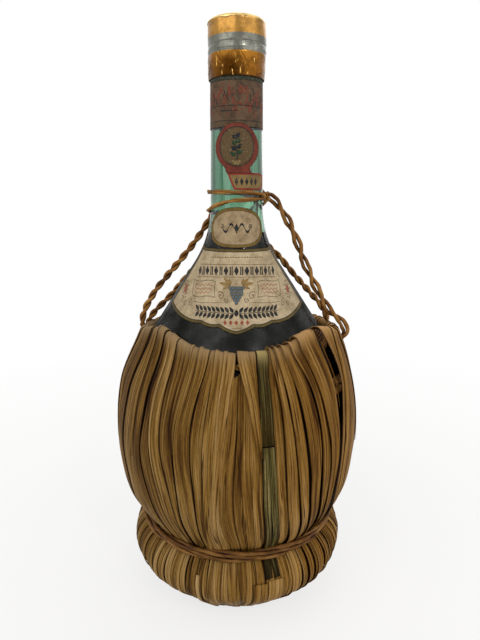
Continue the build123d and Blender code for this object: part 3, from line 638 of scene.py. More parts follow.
def weaveBasket():
    dice = random.Random(4)
    seams = allSeams()
    outer, inner = ({k: LeafBundle() for k in range(1, 13)} for _ in range(2))
    green = {"upper": LeafBundle(), "lower": LeafBundle()}

    def outerNode(azimuth):
        return outer[int(((azimuth + 5) % 360) // 30) + 1]

    # at each seam one leaf laps over the other, or the two leave an open line between them
    meetings = []
    for _ in seams:
        if dice.random() < 0.3:
            meetings.append((dice.uniform(0.15, 0.45), -0.1, -0.1))
        else:
            over = dice.choice((0, 1))
            meetings.append((dice.uniform(-0.45, 0.05), (0.12, -0.5)[over], (-0.5, 0.12)[over]))
    for number, width in openSeams.items():
        meetings[number] = (width, -0.15, -0.15)
    baseDice = random.Random(77)
    partings = [baseDice.choice((0.0, 0.0, 0.5, 0.8)) for _ in seams]
    for index, left in enumerate(seams):
        after = (index + 1) % len(seams)
        right = [a + (360 if after == 0 else 0) for a in seams[after]]
        middle = (left[4] + right[4]) / 2
        level = dice.choice((-0.1, -0.3, -0.5))
        tone = dice.uniform(-0.07, 0.08) * 1.25
        here, there = meetings[index], meetings[after]
        edges, gaps = (here[2], there[1]), (here[0], there[0])
        corner = dice.uniform(0, 0.5)
        if index in rimLaps:
            left = [left[0] - rimLaps[index], left[1] - rimLaps[index] * 0.35] + list(left[2:])
            edges, level, corner = (0.75, edges[1]), 0.0, 1.5 if 15 < index < 23 else 0.3
        if index == openLeft:
            continue
        if index == greenLeft:
            layLeaf(green["upper"], left, right, 0.0, 801, (-0.04, -0.16), bottom=117.8, creases=1, crestHighlight=1.0,
                    crown=0.12)
            layLeaf(outerNode(middle), left, right, -0.45, 811, 0.0, top=44.0, rows=40, bottom=0.4, crestHighlight=0)
            mid = [(a + b) / 2 for a, b in zip(left, right)]
            for side, pair in enumerate(((left, mid), (mid, right))):
                layLeaf(green["lower"], *pair, -0.1, 802 + side, (-0.01 + 0.06 * side, -0.3), top=117.2, bottom=35.4,
                        rows=60, creases=0, crestHighlight=0, crown=0.1, cutSlant=0.15,
                        gaps=(0.12, 0.2) if side else (0.2, 0.12))
            continue
        layLeaf(outerNode(middle), left, right, -0.7 if index in slippedLeaves else level, index + 1, tone,
                top=slippedLeaves.get(index), edges=edges, gaps=gaps, crown=dice.uniform(0.02, 0.14),
                bottom=dice.choice((0, 0.4, 1.2, 2.4)), cutSlant=dice.uniform(-0.5, 0.5),
                creases=dice.choice((1, 2, 3)), corner=corner, splits=(partings[index], partings[after]))
    # the leaf that slants from the split at the front, and the narrow one beside it
    layLeaf(outerNode(5), [0.3, 1.8, 4.7, 7.0, 8.6, 9.2, 9.6, 10, 10, 10, 10, 10],
            [6.1, 7.4, 8.7, 9.6, 10.2, 10.6, 11, 11, 11, 11, 11, 11], 0.1, 501, 0.03, bottom=104, rows=56,
            edges=(0.1, -0.2), tip=14, gaps=(0.1, 0.1))
    layLeaf(outerNode(8), [6.0, 7.2, 8.2, 8.8, 9.4, 9.6, 9.6, 10, 10, 10, 10, 10],
            [9.7, 9.5, 9.7, 10.0, 10.3, 10.6, 11, 11, 11, 11, 11, 11], -0.2, 502, -0.02, bottom=112, rows=50, tip=10,
            gaps=(0.1, 0.1))
    # a sliver hangs inside the opening
    layLeaf(outerNode(50), *astride([49.85, 50.65, 51.85, 52.65, 53.05] + [53.25] * 7, 0.35), -1.0, 503, -0.1,
            bottom=126, rows=40, columns=5, creases=0, tip=12, gaps=(0, 0))
    # slivers split from the leaves lie over them here and there
    for sliver in range(40):
        azimuth, wide = dice.uniform(-60, 290), dice.uniform(0.5, 1.1)
        if 4 < azimuth < 24:
            continue
        near = min(range(len(seams) - 1), key=lambda k: abs(seams[k][3] - azimuth))
        low, drift = dice.uniform(48, 118), dice.uniform(-2.0, 2.0)
        line = [a + drift * (160 - h) / 100 for a, h in zip(seams[near], seamHeights)]
        layLeaf(outerNode(seams[near][4]), *astride(line, wide), 0.05, 700 + sliver, dice.uniform(-0.1, 0.16),
                bottom=low, rows=60, columns=5, crown=0.15, creases=0, tip=dice.uniform(8, 30), gaps=(0, 0))
    # short narrow leaves that fill out the base, all but under the green blades
    for sliver in range(48):
        azimuth, wide = sliver * 360 / 48 + dice.uniform(-2.8, 2.8), dice.uniform(0.8, 2.1)
        drift = dice.uniform(-1.5, 1.5)
        if abs(azimuth % 360 - 17) < 6:
            continue
        layLeaf(outerNode(azimuth), *astride([azimuth] * 10 + [azimuth + drift * 0.5, azimuth + drift], wide),
                dice.uniform(-0.1, 0.2), 600 + sliver, dice.uniform(-0.08, 0.1), top=47.0,
                bottom=dice.choice((0, 0.3, 0.8, 3)), rows=30, columns=7, creases=1, crown=0.1,
                cutSlant=dice.uniform(-0.5, 0.5), crestHighlight=0, gaps=(0, 0))
    # a patch and a pale leaf under the green blades, and a splinter that stands off
    for azimuth, wide, seed, tone, top, bottom in ((11.6, 3.6, 821, 0.0, 33.6, 0.3), (19.4, 3.8, 823, 0.13, 34.6, 0.8)):
        layLeaf(outerNode(azimuth), *astride([azimuth] * 12, wide), 0.3, seed, tone, top=top, rows=30, bottom=bottom,
                crestHighlight=0, gaps=(0, 0))
    layLeaf(outerNode(-18), [-20.4] * 10 + [-19.6, -16.8], [-18.8] * 10 + [-17.8, -14.6], 0.9, 822, 0.34, top=37.0,
            rows=30, columns=5, bottom=0.5, creases=0, crestHighlight=0, gaps=(0, 0))
    # the inner leaves get a very low tone, which the deep colour stop turns nearly black: painted shade in the gaps
    # between the outer leaves; the two under the notch at the front are lighter
    for slot in range(36):
        gapShade = dice.uniform(-0.55, -0.4) + (0.34 if slot in (0, 35) else 0)
        layLeaf(inner[slot // 3 + 1], *astride([slot * 10 + 5] * 12, 5.15), -1.15, 300 + slot, gapShade,
                top={5: 118.0, 35: 150.5, 0: 151.5}.get(slot), crown=0.15, columns=7, rows=70, creases=1, gaps=(0, 0),
                crestHighlight=0.2)
    pieces = [(f"{layer}Straw{number:02d}", f"{layer}_straw_{number:02d}", bundle, strawMaterial, "dried_blade")
              for layer, bundles in (("outer", outer), ("inner", inner)) for number, bundle in bundles.items()]
    pieces += [("greenStrawUpper", "green_blade_upper", green["upper"], greenMaterial, "green_blade"),
               ("greenStrawLower", "green_blades_lower", green["lower"], greenMaterial, "green_blade")]
    for name, node, bundle, material, slotName in pieces:
        makePiece(name, "bottle", material, settled(bundle.points), bundle.faces, [node], bundle.values,
                  basket["thickness"])


weaveBasket()
print("basket laid")

# Cords that hold the basket, each lying where the part has it
windings = {
    "waist": {"start": 200, "strand": 0.98, "spread": 0.86, "gap": 0.25, "low": 45.4,
              "step": 3.7, "pitch": 52.0, "turned": 630},
    "neck": {"strand": 0.76, "spread": 0.46, "pitch": 34.1, "start": 90.0,
             "heights": (237.2, 238.9, 239.2, 239.0, 235.6, 234.6, 228.8, 227.8, 233.4)},
    "knot": {"azimuth": 84, "reach": 17.2, "height": 236.7, "strand": 0.62, "spread": 0.34, "pitch": 8.0},
}
# The outside of the glass from the belly up, on which the neck cord and the papers lie
flaskLine = flaskSide(0, flask["neck"], flask["flare"], (flask["neckTop"], lipFoot - 0.8))
flaskLine = flaskLine[flaskLine[:, 1] >= flask["bellyHeight"]]


def glassOutside(height):
    return np.interp(height, flaskLine[:, 1], flaskLine[:, 0])


def basketOutside(height):
    return float(np.interp(-height, -courseSpots[overFold, 1], courseSpots[overFold, 0]))


def ringPoint(azimuth, reach, height):
    return roundAxis(math.radians(azimuth), reach, height)


def joinTwist(whole, twist):
    # adds a twisted cord to the points, faces and values of a piece
    (points, faces, values), (more, moreFaces, moreValues) = whole, twist
    faces += [tuple(v + len(points) for v in face) for face in moreFaces]
    points += more
    for key in values:
        values[key] += moreValues[key]


def windCords():
    w = windings["waist"]
    line = []
    for step in range(0, w["turned"] + 1, 3):
        height = w["low"] + w["step"] * smoothStep(step, 270, 360)
        away = max(basketOutside(h) for h in np.linspace(height - 1.4, height + 1.4, 5)) + w["gap"] + w["strand"]
        line.append(ringPoint(w["start"] + step, away, height))
    points, faces, values = twistStrands(line, w["strand"], w["spread"], w["pitch"], 0.3, 21, taper=4)
    values["cordGroove"] = [min(1.0, g + 0.35) for g in values["cordGroove"]]  # the groove's painted shade is raised by 0.35, so the whole cord is darker
    makePiece("waistCord", "bottle", cordMaterial, points, faces, ["waist_cord"], values)
    n = windings["neck"]
    last = len(n["heights"]) - 1
    line = []
    for spot in np.linspace(0, last, 180):
        whole = int(min(spot, last - 1))
        share = spot - whole
        share = smoothStep(share, 0, 1) * 0.5 + share * 0.5
        height = n["heights"][whole] * (1 - share) + n["heights"][whole + 1] * share
        line.append(ringPoint(n["start"] - 90 * spot, glassOutside(height) + n["strand"] + n["spread"], height))
    line += [ringPoint(89 - step, glassOutside(233) + 1.3, 233.6 + 1.2 * step) for step in (0.8, 1.8, 2.8)]
    points, faces, values = twistStrands(line, n["strand"], n["spread"], n["pitch"], 1.57, 31, taper=3)
    makePiece("neckWinding", "bottle", cordMaterial, points, faces, ["neck_winding"], values)
    # the knot: one strand turned over and under itself
    k = windings["knot"]
    middle = np.array(ringPoint(k["azimuth"], k["reach"], k["height"]))
    out = np.array(ringPoint(k["azimuth"], 1, 0))
    along = np.array((-out[1], out[0], 0))
    loop = [middle + along * 1.7 * math.sin(turn) + np.array((0, 0, 2.1)) * math.cos(turn * 0.5 + 0.6)
            + out * (0.9 * math.cos(turn) + 0.3) for turn in np.linspace(0.2, 4 * math.pi - 0.4, 60)]
    points, faces, values = twistStrands(loop, k["strand"], k["spread"], k["pitch"], 0, 41, taper=1)
    makePiece("neckKnot", "bottle", cordMaterial, points, faces, ["neck_knot"], values)
    # the hoop inside is two cords lying one on the other; the rim cord shows in the opening
    for name, rings, radius, sagging, node in (
            ("rimCord", ((57.0, 158.4),), 1.6, 1, "rim_cord"),
            ("bellyHoop", ((64.9, 131.9), (64.5, 135.9)), 1.9, 0, "belly_hoop")):
        whole = ([], [], {"cordPlace": [], "cordGroove": []})
        for seed, (reach, height) in enumerate(rings):
            # the rim cord sags a little where the leaves part at the front
            sag = [(a, sagging * math.exp(-((a - 182) / 6) ** 2)) for a in range(0, 361, 2)]
            line = [ringPoint(a + 180, reach + 1.8 * g, height - 4.3 * g) for a, g in sag]
            joinTwist(whole, twistStrands(line, radius * 0.6, radius * 0.42, 9.0, 0, 51 + seed, taper=0.5))
        if sagging:
            # its loose end is curled up in the opening at the right
            share = np.linspace(0, 1, 260)
            turn = share * 2 * math.pi * 7.5
            curl = 2.6 * np.minimum(1, np.minimum(share + 0.3, 1.5 - share) * 1.6)
            line = [ringPoint(47.6 + 8.6 * s + 2.2 * c * math.sin(t) / 3, 58.6 + 1.8 * s + c * 0.7 * math.cos(t),
                              160.2 - 8.4 * s + c * math.sin(t + 0.5)) for s, t, c in zip(share, turn, curl)]
            twist = twistStrands(line, 0.5, 0.0, 40.0, 0, 61, strands=1, taper=1.5)
            # the curled end in the opening is darkened all over, three quarters of the groove's painted shade
            twist[2]["cordGroove"] = [0.75] * len(twist[0])
            joinTwist(whole, twist)
        points, faces, values = whole
        makePiece(name, "bottle", cordMaterial, settled(points), faces, [node], values)


windCords()
print("cords wound")

# Printed papers. Each is a sheet cut to shape, pasted on the glass and gone brown with age.
papers = {"thickness": 0.2, "gap": 0.06, "inkRise": 0.05, "inkThickness": 0.04}
flaskNormal = np.gradient(flaskLine, axis=0)[:, ::-1] * (1, -1)
flaskNormal /= np.linalg.norm(flaskNormal, axis=1)[:, None]


def onFlask(azimuth, height, rise):
    # a point over the glass: azimuth in radians from the front
    outR, outZ = (np.interp(height, flaskLine[:, 1], out) for out in flaskNormal.T)
    return roundAxis(azimuth, glassOutside(height) + rise * outR, height + rise * outZ)


def arcThrough(start, middle, end, steps=24):
    (ax, ay), (bx, by), (cx, cy) = start, middle, end
    d = 2 * (ax * (by - cy) + bx * (cy - ay) + cx * (ay - by))
    ux = ((ax * ax + ay * ay) * (by - cy) + (bx * bx + by * by) * (cy - ay) + (cx * cx + cy * cy) * (ay - by)) / d
    uy = ((ax * ax + ay * ay) * (cx - bx) + (bx * bx + by * by) * (ax - cx) + (cx * cx + cy * cy) * (bx - ax)) / d
    radius = math.hypot(ax - ux, ay - uy)
    turns = np.unwrap([math.atan2(y - uy, x - ux) for x, y in (start, middle, end)])
    return [(ux + radius * math.cos(t), uy + radius * math.sin(t)) for t in np.linspace(turns[0], turns[2], steps)]


def agedPaperMaterial(name, field, bands, stain, grime, mottle=None):
    # wood-pulp paper printed with a border and varnished by age: matt, foxed with brown spots, rubbed
    material, tree, shader = newMaterial(name, {"Roughness": 0.72, "Specular IOR Level": 0.25})
    place = pieceValue(tree, "paperPlace", "Vector")
    stops, reach, widest = [], 0.0, 8.0
    for width, colour in bands:
        stops += [(reach / widest + 0.002, colour), ((reach + width) / widest - 0.008, colour)]
        reach += width
    inset = maths(tree, "DIVIDE", pieceValue(tree, "edgeDistance"), widest)
    clouds = grain(tree, place, 0.16, 8.0, 0.7)
    colour = mix(tree, ramp(tree, clouds, (0.42, 0.0), (0.72, grime)),
                 ramp(tree, inset, *stops, (reach / widest + 0.002, field)), stain, "MULTIPLY")
    rubbed = ramp(tree, grain(tree, place, 1.6, 6.0, 0.8), (0.36, 0.66), (0.52, 1.0), (0.7, 1.12))
    colour = mix(tree, 1.0, colour, rubbed, "MULTIPLY")
    if mottle:
        streaks = grain(tree, place, (0.55, 0.16, 1), 6.0, 0.7)
        colour = mix(tree, ramp(tree, streaks, (0.54, 0.0), (0.64, 0.75)), colour, mottle)
    fill(shader, {"Base Color": colour})
    relieve(shader, clouds, 0.35, 0.0002)
    return material


def oval(across, height, wide, tall, count, whole=True):
    return [(across + wide * math.cos(t), height + tall * math.sin(t))
            for t in np.linspace(0, 2 * math.pi, count, endpoint=whole)]


def outward(points, faces, each):
    # turns the faces to look away from the axis, each by itself or all as the first
    flips = []
    for face in faces if each else faces[:1]:
        a, b, c = (np.array(points[i]) for i in face[:3])
        flips.append(np.cross(b - a, c - a).dot(a * (1, 1, 0)) < 0)
    return [face[::-1] if flip else face for face, flip in zip(faces, flips if each else flips * len(faces))]


def pasteLabel(name, outline, node, material, spacing, flat, layer=0.0):
    # outline: front-view points; flat: millimetres of the flat pattern for one radian
    outline, tallness = np.array(outline), 1.15
    azimuths = np.arcsin(np.clip(outline[:, 0] / glassOutside(outline[:, 1]), -1, 1))
    edge = np.column_stack([azimuths * flat, outline[:, 1] * tallness, np.zeros(len(outline))])
    edge = spacedLine(np.vstack([edge, edge[:1]]), spacing * 0.6)[1][:-1, :2]
    step = np.roll(edge, -1, 0) - edge
    low, high = edge.min(0), edge.max(0)
    inside = []
    for x in np.arange(low[0], high[0], spacing):
        for y in np.arange(low[1], high[1], spacing):
            spot = np.array((x + 0.13 * spacing * math.sin(y * 5), y))
            crossing = ((edge[:, 1] > spot[1]) != (np.roll(edge[:, 1], -1) > spot[1]))
            at = edge[:, 0] + (spot[1] - edge[:, 1]) * step[:, 0] / np.where(step[:, 1] == 0, 1e-9, step[:, 1])
            if np.sum(crossing & (spot[0] < at)) % 2 and np.min(np.linalg.norm(edge - spot, axis=1)) > spacing * 0.45:
                inside.append(spot)
    ring = [(i, (i + 1) % len(edge)) for i in range(len(edge))]
    cut = delaunay_2d_cdt([Vector(p) for p in np.vstack([edge, inside])], ring, [], 1, 1e-6)
    edge3d = np.array([onFlask(x / flat, y / tallness, 0) for x, y in edge])
    points, insets, places = [], [], []
    for x, y in (tuple(v) for v in cut[0]):
        ripple = 0.05 * noise.noise(Vector((x / 4, y / 4, len(name)))) + 0.03 * noise.noise(Vector((x, y / 3, 5)))
        inset = float(np.min(np.linalg.norm(edge3d - onFlask(x / flat, y / tallness, 0), axis=1)))
        curl = 0.1 * math.exp(-inset / 0.8) * max(0, noise.noise(Vector((x / 6, y / 6, 3))))
        points.append(onFlask(x / flat, y / tallness, papers["gap"] + papers["thickness"] + layer + abs(ripple) + curl))
        insets.append(inset)
        places.append((x, y, len(name)))
    faces = outward(points, [tuple(face) for face in cut[2]], False)
    makePiece(name, "bottle", material, points, faces, [node],
              {"edgeDistance": insets, "paperPlace": places}, papers["thickness"])


class Print:
    # ink shapes in the label's own flat measure: across from its middle, and height
    def __init__(self):
        self.spots, self.faces = [], []

    def line(self, points, width):
        points = np.array(points, float)
        ahead = np.gradient(points, axis=0)
        ahead /= np.maximum(np.linalg.norm(ahead, axis=1), 1e-9)[:, None]
        side = ahead[:, ::-1] * (-1, 1) * np.reshape(np.broadcast_to(width, len(points)), (-1, 1)) / 2
        first = len(self.spots)
        for spot, out in zip(points, side):
            self.spots += [spot - out, spot + out]
        self.faces += gridFaces(len(points), 2, first)

    def shape(self, points):
        # cut into rings, so that a broad shape follows the round glass
        outline, count, first = np.array(points, float), len(points), len(self.spots)
        middle = outline.mean(axis=0)
        rings = max(1, int(np.max(np.linalg.norm(outline - middle, axis=1)) / 0.9))
        self.spots.append(middle)
        for ring in range(1, rings + 1):
            self.spots += list(middle + (outline - middle) * ring / rings)
        self.faces += [(first, first + 1 + i, first + 1 + (i + 1) % count) for i in range(count)]
        self.faces += gridFaces(rings, count, first + 1, closed=True)

    def lozenge(self, across, height, wide, tall):
        self.shape([(across - wide, height), (across, height - tall), (across + wide, height), (across, height + tall)])

    def dot(self, across, height, wide, tall=None, sides=12):
        self.shape(oval(across, height, wide, wide if tall is None else tall, sides, False))

    def leaf(self, across, height, length, width, turn):
        ring = []
        for side in (1, -1):
            for share in (np.linspace(0, 1, 7) if side > 0 else np.linspace(1, 0, 7)[1:-1]):
                x, y = length * share, side * width / 2 * math.sin(math.pi * share ** 0.8)
                ring.append((across + x * math.cos(turn) - y * math.sin(turn),
                             height + x * math.sin(turn) + y * math.cos(turn)))
        self.shape(ring)

    def scroll(self, across, height, size, turn, hand, width):
        whole = 2 * math.pi * 1.35
        line = [(size * (1 - t / whole) ** 0.9 * 0.5, t + turn) for t in np.linspace(0, whole, 40)]
        self.line([(across + hand * reach * math.cos(t), height + reach * math.sin(t)) for reach, t in line], width)

    def press(self, name, ink, slotName, middle=0.0, rise=0.0):
        # middle shifts the print round the flask
        rise += papers["gap"] + papers["thickness"] + papers["inkRise"]
        points = [onFlask((across + middle) / glassOutside(height), height, rise) for across, height in self.spots]
        makePiece(name, "bottle", inks[ink], points, outward(points, self.faces, True), (), None,
                  papers["inkThickness"])


def inkMaterial(name, colour):
    # letterpress ink, sunk in the paper and worn thin in spots: matt
    material, tree, shader = newMaterial(name, {"Roughness": 0.7, "Specular IOR Level": 0.25})
    worn = ramp(tree, grain(tree, objectPlace(tree), 900.0, 5.0), (0.52, 0.0), (0.7, 0.35))
    fill(shader, {"Base Color": mix(tree, worn, colour, "#8c7a5d")})
    return material


inks = {name: inkMaterial(name + "Ink", colour) for name, colour in {
    "black": "#14181a", "brown": "#57452c", "red": "#8c4331", "darkRed": "#6b2c1d", "blue": "#4f6068",
    "green": "#173019", "tan": "#8b7042", "pale": "#77653f", "medallion": "#513e23", "darkGreen": "#2c2f25"}.items()}
labelValues = {
    "main": {"top": 210.2, "low": 167.7, "depth": 39.5, "sweep": 144.0, "dip": 1.5, "field": "#b7a484"},
    "shoulder": {"top": 230.9, "height": 21.6, "halfWidth": 13.9, "crown": 12.5},
    "seal": {"middle": 261.8, "shift": 0.35, "halfWidth": 11.1, "halfHeight": 12.4, "tail": 248.6},
    "tab": {"corners": ((-5.0, 248.7), (-1.3, 239.9), (13.8, 239.7), (14.1, 248.9)), "round": 2.6},
    "strip": {"low": 271.7, "high": 298.3},
}


def mainOutline():
    v = labelValues["main"]
    low, half = v["low"], math.radians(v["sweep"] / 2)
    width = glassOutside(low + 0.25 * v["depth"]) * math.sin(half)
    corners = ((1.0, 0.25), (0.51, 0.105), (0.25, 0.074), (0.0, -0.006))
    swells = ((0.77, 0.125), (0.37, 0.068), (0.12, 0.02))
    edge = []
    for sign in (1, -1):
        run = []
        for start, swell, end in zip(corners, swells, corners[1:]):
            run += arcThrough(*[(sign * width * x, low + v["depth"] * z) for x, z in (start, swell, end)])
        edge += run if sign > 0 else run[::-1]
    upLeft = np.linspace(low + 0.25 * v["depth"], v["top"], 30)
    edge += [(-glassOutside(z) * math.sin(half) * 0.999, z) for z in upLeft]
    reach = glassOutside(v["top"]) * math.sin(half)
    edge += [(x, v["top"] - v["dip"] * (1 - (x / 68) ** 2)) for x in np.linspace(-reach, reach, 30)[1:-1]]
    edge += [(glassOutside(z) * math.sin(half) * 0.999, z) for z in upLeft[::-1]]
    return edge


def mainLabel():
    paper = agedPaperMaterial("labelPaper", labelValues["main"]["field"], [
        (0.35, "#2a2412"), (1.15, "#5d4d24"), (0.45, "#232415")], "#8d7850", 0.7)
    pasteLabel("mainLabel", mainOutline(), "main_label", paper, 0.75, 34.0)
    bold, fine, red, blue, brown = (Print() for _ in range(5))
    rowHeight, rowArch, laurelHeight, laurelArch, beadsOut, beadsHeight = 197.6, 0.0016, 177.3, 0.0004, 33.5, 186.6
    # a bead-and-reel row under the top edge
    for number, across in enumerate(np.arange(-22.4, 22.5, 2.8)):
        height = rowHeight - rowArch * across * across
        if number % 2:
            for shift in (-0.5, 0.5):
                bold.line([(across + shift, height - 2.1), (across + shift, height + 2.1)], 0.6)
        else:
            bold.lozenge(across, height, 1.3, 2.4)
    for shift in (-3.1, 3.1):
        fine.line([(a, rowHeight + shift - rowArch * a * a) for a in np.linspace(-23.6, 23.6, 60)], 0.22)
    for across in np.arange(-15, 15.1, 1.5):
        fine.dot(across, 204.4 - rowArch * across * across, 0.5, 0.26)
    # a bunch of grapes between two leaves and two tendrils
    for row, count in enumerate((5, 4, 4, 3, 2, 1)):
        for grape in range(count):
            across, height = (grape - (count - 1) / 2) * 1.72 + (0.2 if row == 2 else 0), 189.2 - row * 1.42
            blue.dot(across, height, 0.8, 0.8)
            fine.line(oval(across, height, 0.86, 0.86, 14), 0.2)
    left, right = 11.4, 26.0
    for hand in (-1, 1):
        for spread, size in ((0.15, 6.4), (0.75, 5.2), (-0.45, 4.8), (1.3, 3.4)):
            turn = spread if hand > 0 else math.pi - spread
            brown.leaf(hand * 3.0, 190.6, size, 2.0, turn)
            fine.line([(hand * 3.0 + math.cos(turn) * t, 190.6 + math.sin(turn) * t)
                       for t in np.linspace(0.4, size - 0.6, 8)], 0.18)
        fine.scroll(hand * 8.4, 185.4, 4.2, 0.8, hand, 0.3)
        fine.scroll(hand * 5.6, 183.4, 2.8, 2.2, hand, 0.28)
        # a ribbon with wavy red rules
        for height in (192.0, 184.4):
            fine.line([(hand * a, height + 0.5 * math.sin((a - left) / (right - left) * 2 * math.pi))
                       for a in np.linspace(left, right, 30)], 0.24)
        for across in (left, right):
            fine.line([(hand * (across + 0.5 * math.sin(t * math.pi)), 184.4 + 7.6 * t)
                       for t in np.linspace(0, 1, 12)], 0.24)
        for number, height in enumerate((190.0, 188.1, 186.3)):
            red.line([(hand * a, height + 0.42 * math.sin(a * 2.6 + number) + 0.3 * math.sin(a * 0.5))
                      for a in np.linspace(left + 1.5 + number, right - 1.5, 70)], 0.26)
        # an oval of beads at the side, and scrolls under it
        for bead in range(12):
            turn = bead * math.pi / 6
            fine.dot(hand * beadsOut + 2.6 * math.cos(turn), beadsHeight + 4.2 * math.sin(turn), 0.42)
        red.dot(hand * beadsOut, beadsHeight, 1.2, 2.1)
        fine.line(oval(hand * beadsOut, beadsHeight, 1.7, 2.8, 24), 0.25)
        fine.scroll(hand * 27.4, 180.6, 3.6, 1.4, hand, 0.26)
        fine.scroll(hand * 31.4, 179.7, 3.0, 0.4, -hand, 0.26)
        fine.line([(hand * a, 182.2 - 0.8 * math.sin((a - 8) / 9)) for a in np.linspace(8, 25, 30)], 0.2)
    # a laurel row above the scallops, and red lozenges at the tip
    for across in np.arange(-21.6, 21.7, 2.4):
        height, hand = laurelHeight + laurelArch * across * across, -1 if across < 0 else 1
        for rise in (0.85, -0.85) if abs(across) > 0.6 else ():
            bold.leaf(across - hand * 0.9, height + rise * 0.35, 3.4, 1.7, rise if hand > 0 else math.pi - rise)
    bold.line([(a, laurelHeight + laurelArch * a * a) for a in np.linspace(-23, 23, 50)], 0.3)
    bold.dot(0, laurelHeight, 1.1, 1.5)
    for across in (-2.0, -1.0, 0, 1.0, 2.0):
        red.lozenge(across * 2.9, 172.9, 0.95, 1.2)
        fine.dot(across, 170.3, 0.26)
    for name, ink, drawing in (("Bold", "black", bold), ("Fine", "brown", fine), ("Red", "red", red),
                               ("Grape", "blue", blue), ("Leaf", "tan", brown)):
        drawing.press(f"label{name}Print", ink, "label_paper", rise=0.02 if name == "Fine" else 0)


def shoulderLabel():
    v = labelValues["shoulder"]
    low, side = v["top"] - v["height"], v["top"] - v["crown"]
    edge = []
    for turn in np.linspace(0, 2 * math.pi, 140, endpoint=False):
        tall, power = (v["crown"], 0.82) if math.sin(turn) > 0 else (side - low, 0.62)
        edge.append((v["halfWidth"] * math.copysign(abs(math.cos(turn)) ** power, math.cos(turn)),
                     side + tall * math.copysign(abs(math.sin(turn)) ** power, math.sin(turn))))
    paper = agedPaperMaterial("shoulderPaper", "#a08b6a", [(0.3, "#40331a"), (1.35, "#6f5824"), (0.3, "#4e3d1e")],
                              "#8a7152", 0.7)
    pasteLabel("shoulderLabel", edge, "shoulder_label", paper, 0.6, 22.0)
    flourish, middle = Print(), 219.6
    for hand in (-1, 1):
        flourish.line([(hand * (1.3 + 6.4 * t), middle + 2.4 * math.sin(t * 2 * math.pi) * (1 - 0.25 * t))
                       for t in np.linspace(0, 1, 40)], 0.3 + 0.95 * np.sin(np.linspace(0, 2 * math.pi, 40)) ** 2)
        flourish.scroll(hand * 7.9, 220.4, 2.4, 1.0, hand, 0.4)
    flourish.lozenge(0, middle, 1.3, 2.8)
    flourish.press("shoulderFlourish", "black", "shoulder_paper")


def sealLabel():
    v = labelValues["seal"]
    # an oval whose foot runs on down to the number tab
    edge = [(v["shift"] + v["halfWidth"] * math.cos(t), v["middle"] + v["halfHeight"] * math.sin(t))
            for t in np.linspace(math.radians(-52), math.radians(232), 110)]
    edge += arcThrough(edge[-1], (-5.6, 250.2), (-5.2, v["tail"]), 10)[1:]
    edge += arcThrough((8.8, v["tail"]), (7.2, 250.0), edge[0], 10)[:-1]
    paper = agedPaperMaterial("sealPaper", "#6f2f1f", [(0.35, "#54261b")], "#7a5440", 0.8, "#58290f")
    pasteLabel("sealLabel", edge, "seal_label", paper, 0.55, 14.4, layer=0.36)
    for grow, ink, rise in ((0.45, "black", 0.36), (0.0, "medallion", 0.4)):
        field = Print()
        field.dot(0.3, 262.1, 9.0 + grow, 9.7 + grow, sides=48)
        field.press(f"seal{ink.capitalize()}", ink, "seal_paper", rise=rise)
    # a vine sprig with leaves on both sides and a small bunch at its foot
    stem, leaves, pale = (Print() for _ in range(3))
    stem.line([(0.7 * math.sin(t * 1.1), 255.6 + t * 1.75) for t in np.linspace(0, 7.4, 40)], np.linspace(0.9, 0.4, 40))
    for number, height in enumerate((258.0, 260.8, 263.6, 266.4)):
        for hand in (-1, 1):
            rise = 0.5 + 0.1 * number
            (leaves if (number + hand) % 2 else stem).leaf(
                0, height + hand * 0.5, 3.8 - 0.3 * number, 2.3, rise if hand > 0 else math.pi - rise)
    for across, height in ((-1.6, 254.6), (0, 254.3), (1.6, 254.6), (-0.8, 253.5), (0.8, 253.5)):
        pale.dot(across, height, 0.66)
    stem.press("sealStem", "black", "seal_paper", rise=0.44)
    leaves.press("sealLeaves", "green", "seal_paper", rise=0.46)
    pale.press("sealFruit", "pale", "seal_paper", rise=0.45)


def numberTab():
    v = labelValues["tab"]
    edge, corners = [], np.array(v["corners"])
    for number, corner in enumerate(corners):
        before, after = corners[number - 1] - corner, corners[(number + 1) % 4] - corner
        reach = v["round"] if corner[0] > 0 else 0.8
        start, end = (corner + way / np.linalg.norm(way) * reach for way in (before, after))
        edge += [tuple(start * (1 - t) ** 2 + corner * 2 * t * (1 - t) + end * t * t) for t in np.linspace(0, 1, 10)]
    paper = agedPaperMaterial("tabPaper", "#826a40", [(1.1, "#863527")], "#6d5334", 0.6)
    pasteLabel("numberTab", edge, "number_label", paper, 0.5, 14.2)
    beads = Print()
    for across in (-5.6, -2.8, 0, 2.8, 5.6):
        beads.lozenge(across, 244.3, 1.0, 2.1)
    beads.press("tabBeads", "black", "tab_paper", middle=5.6)


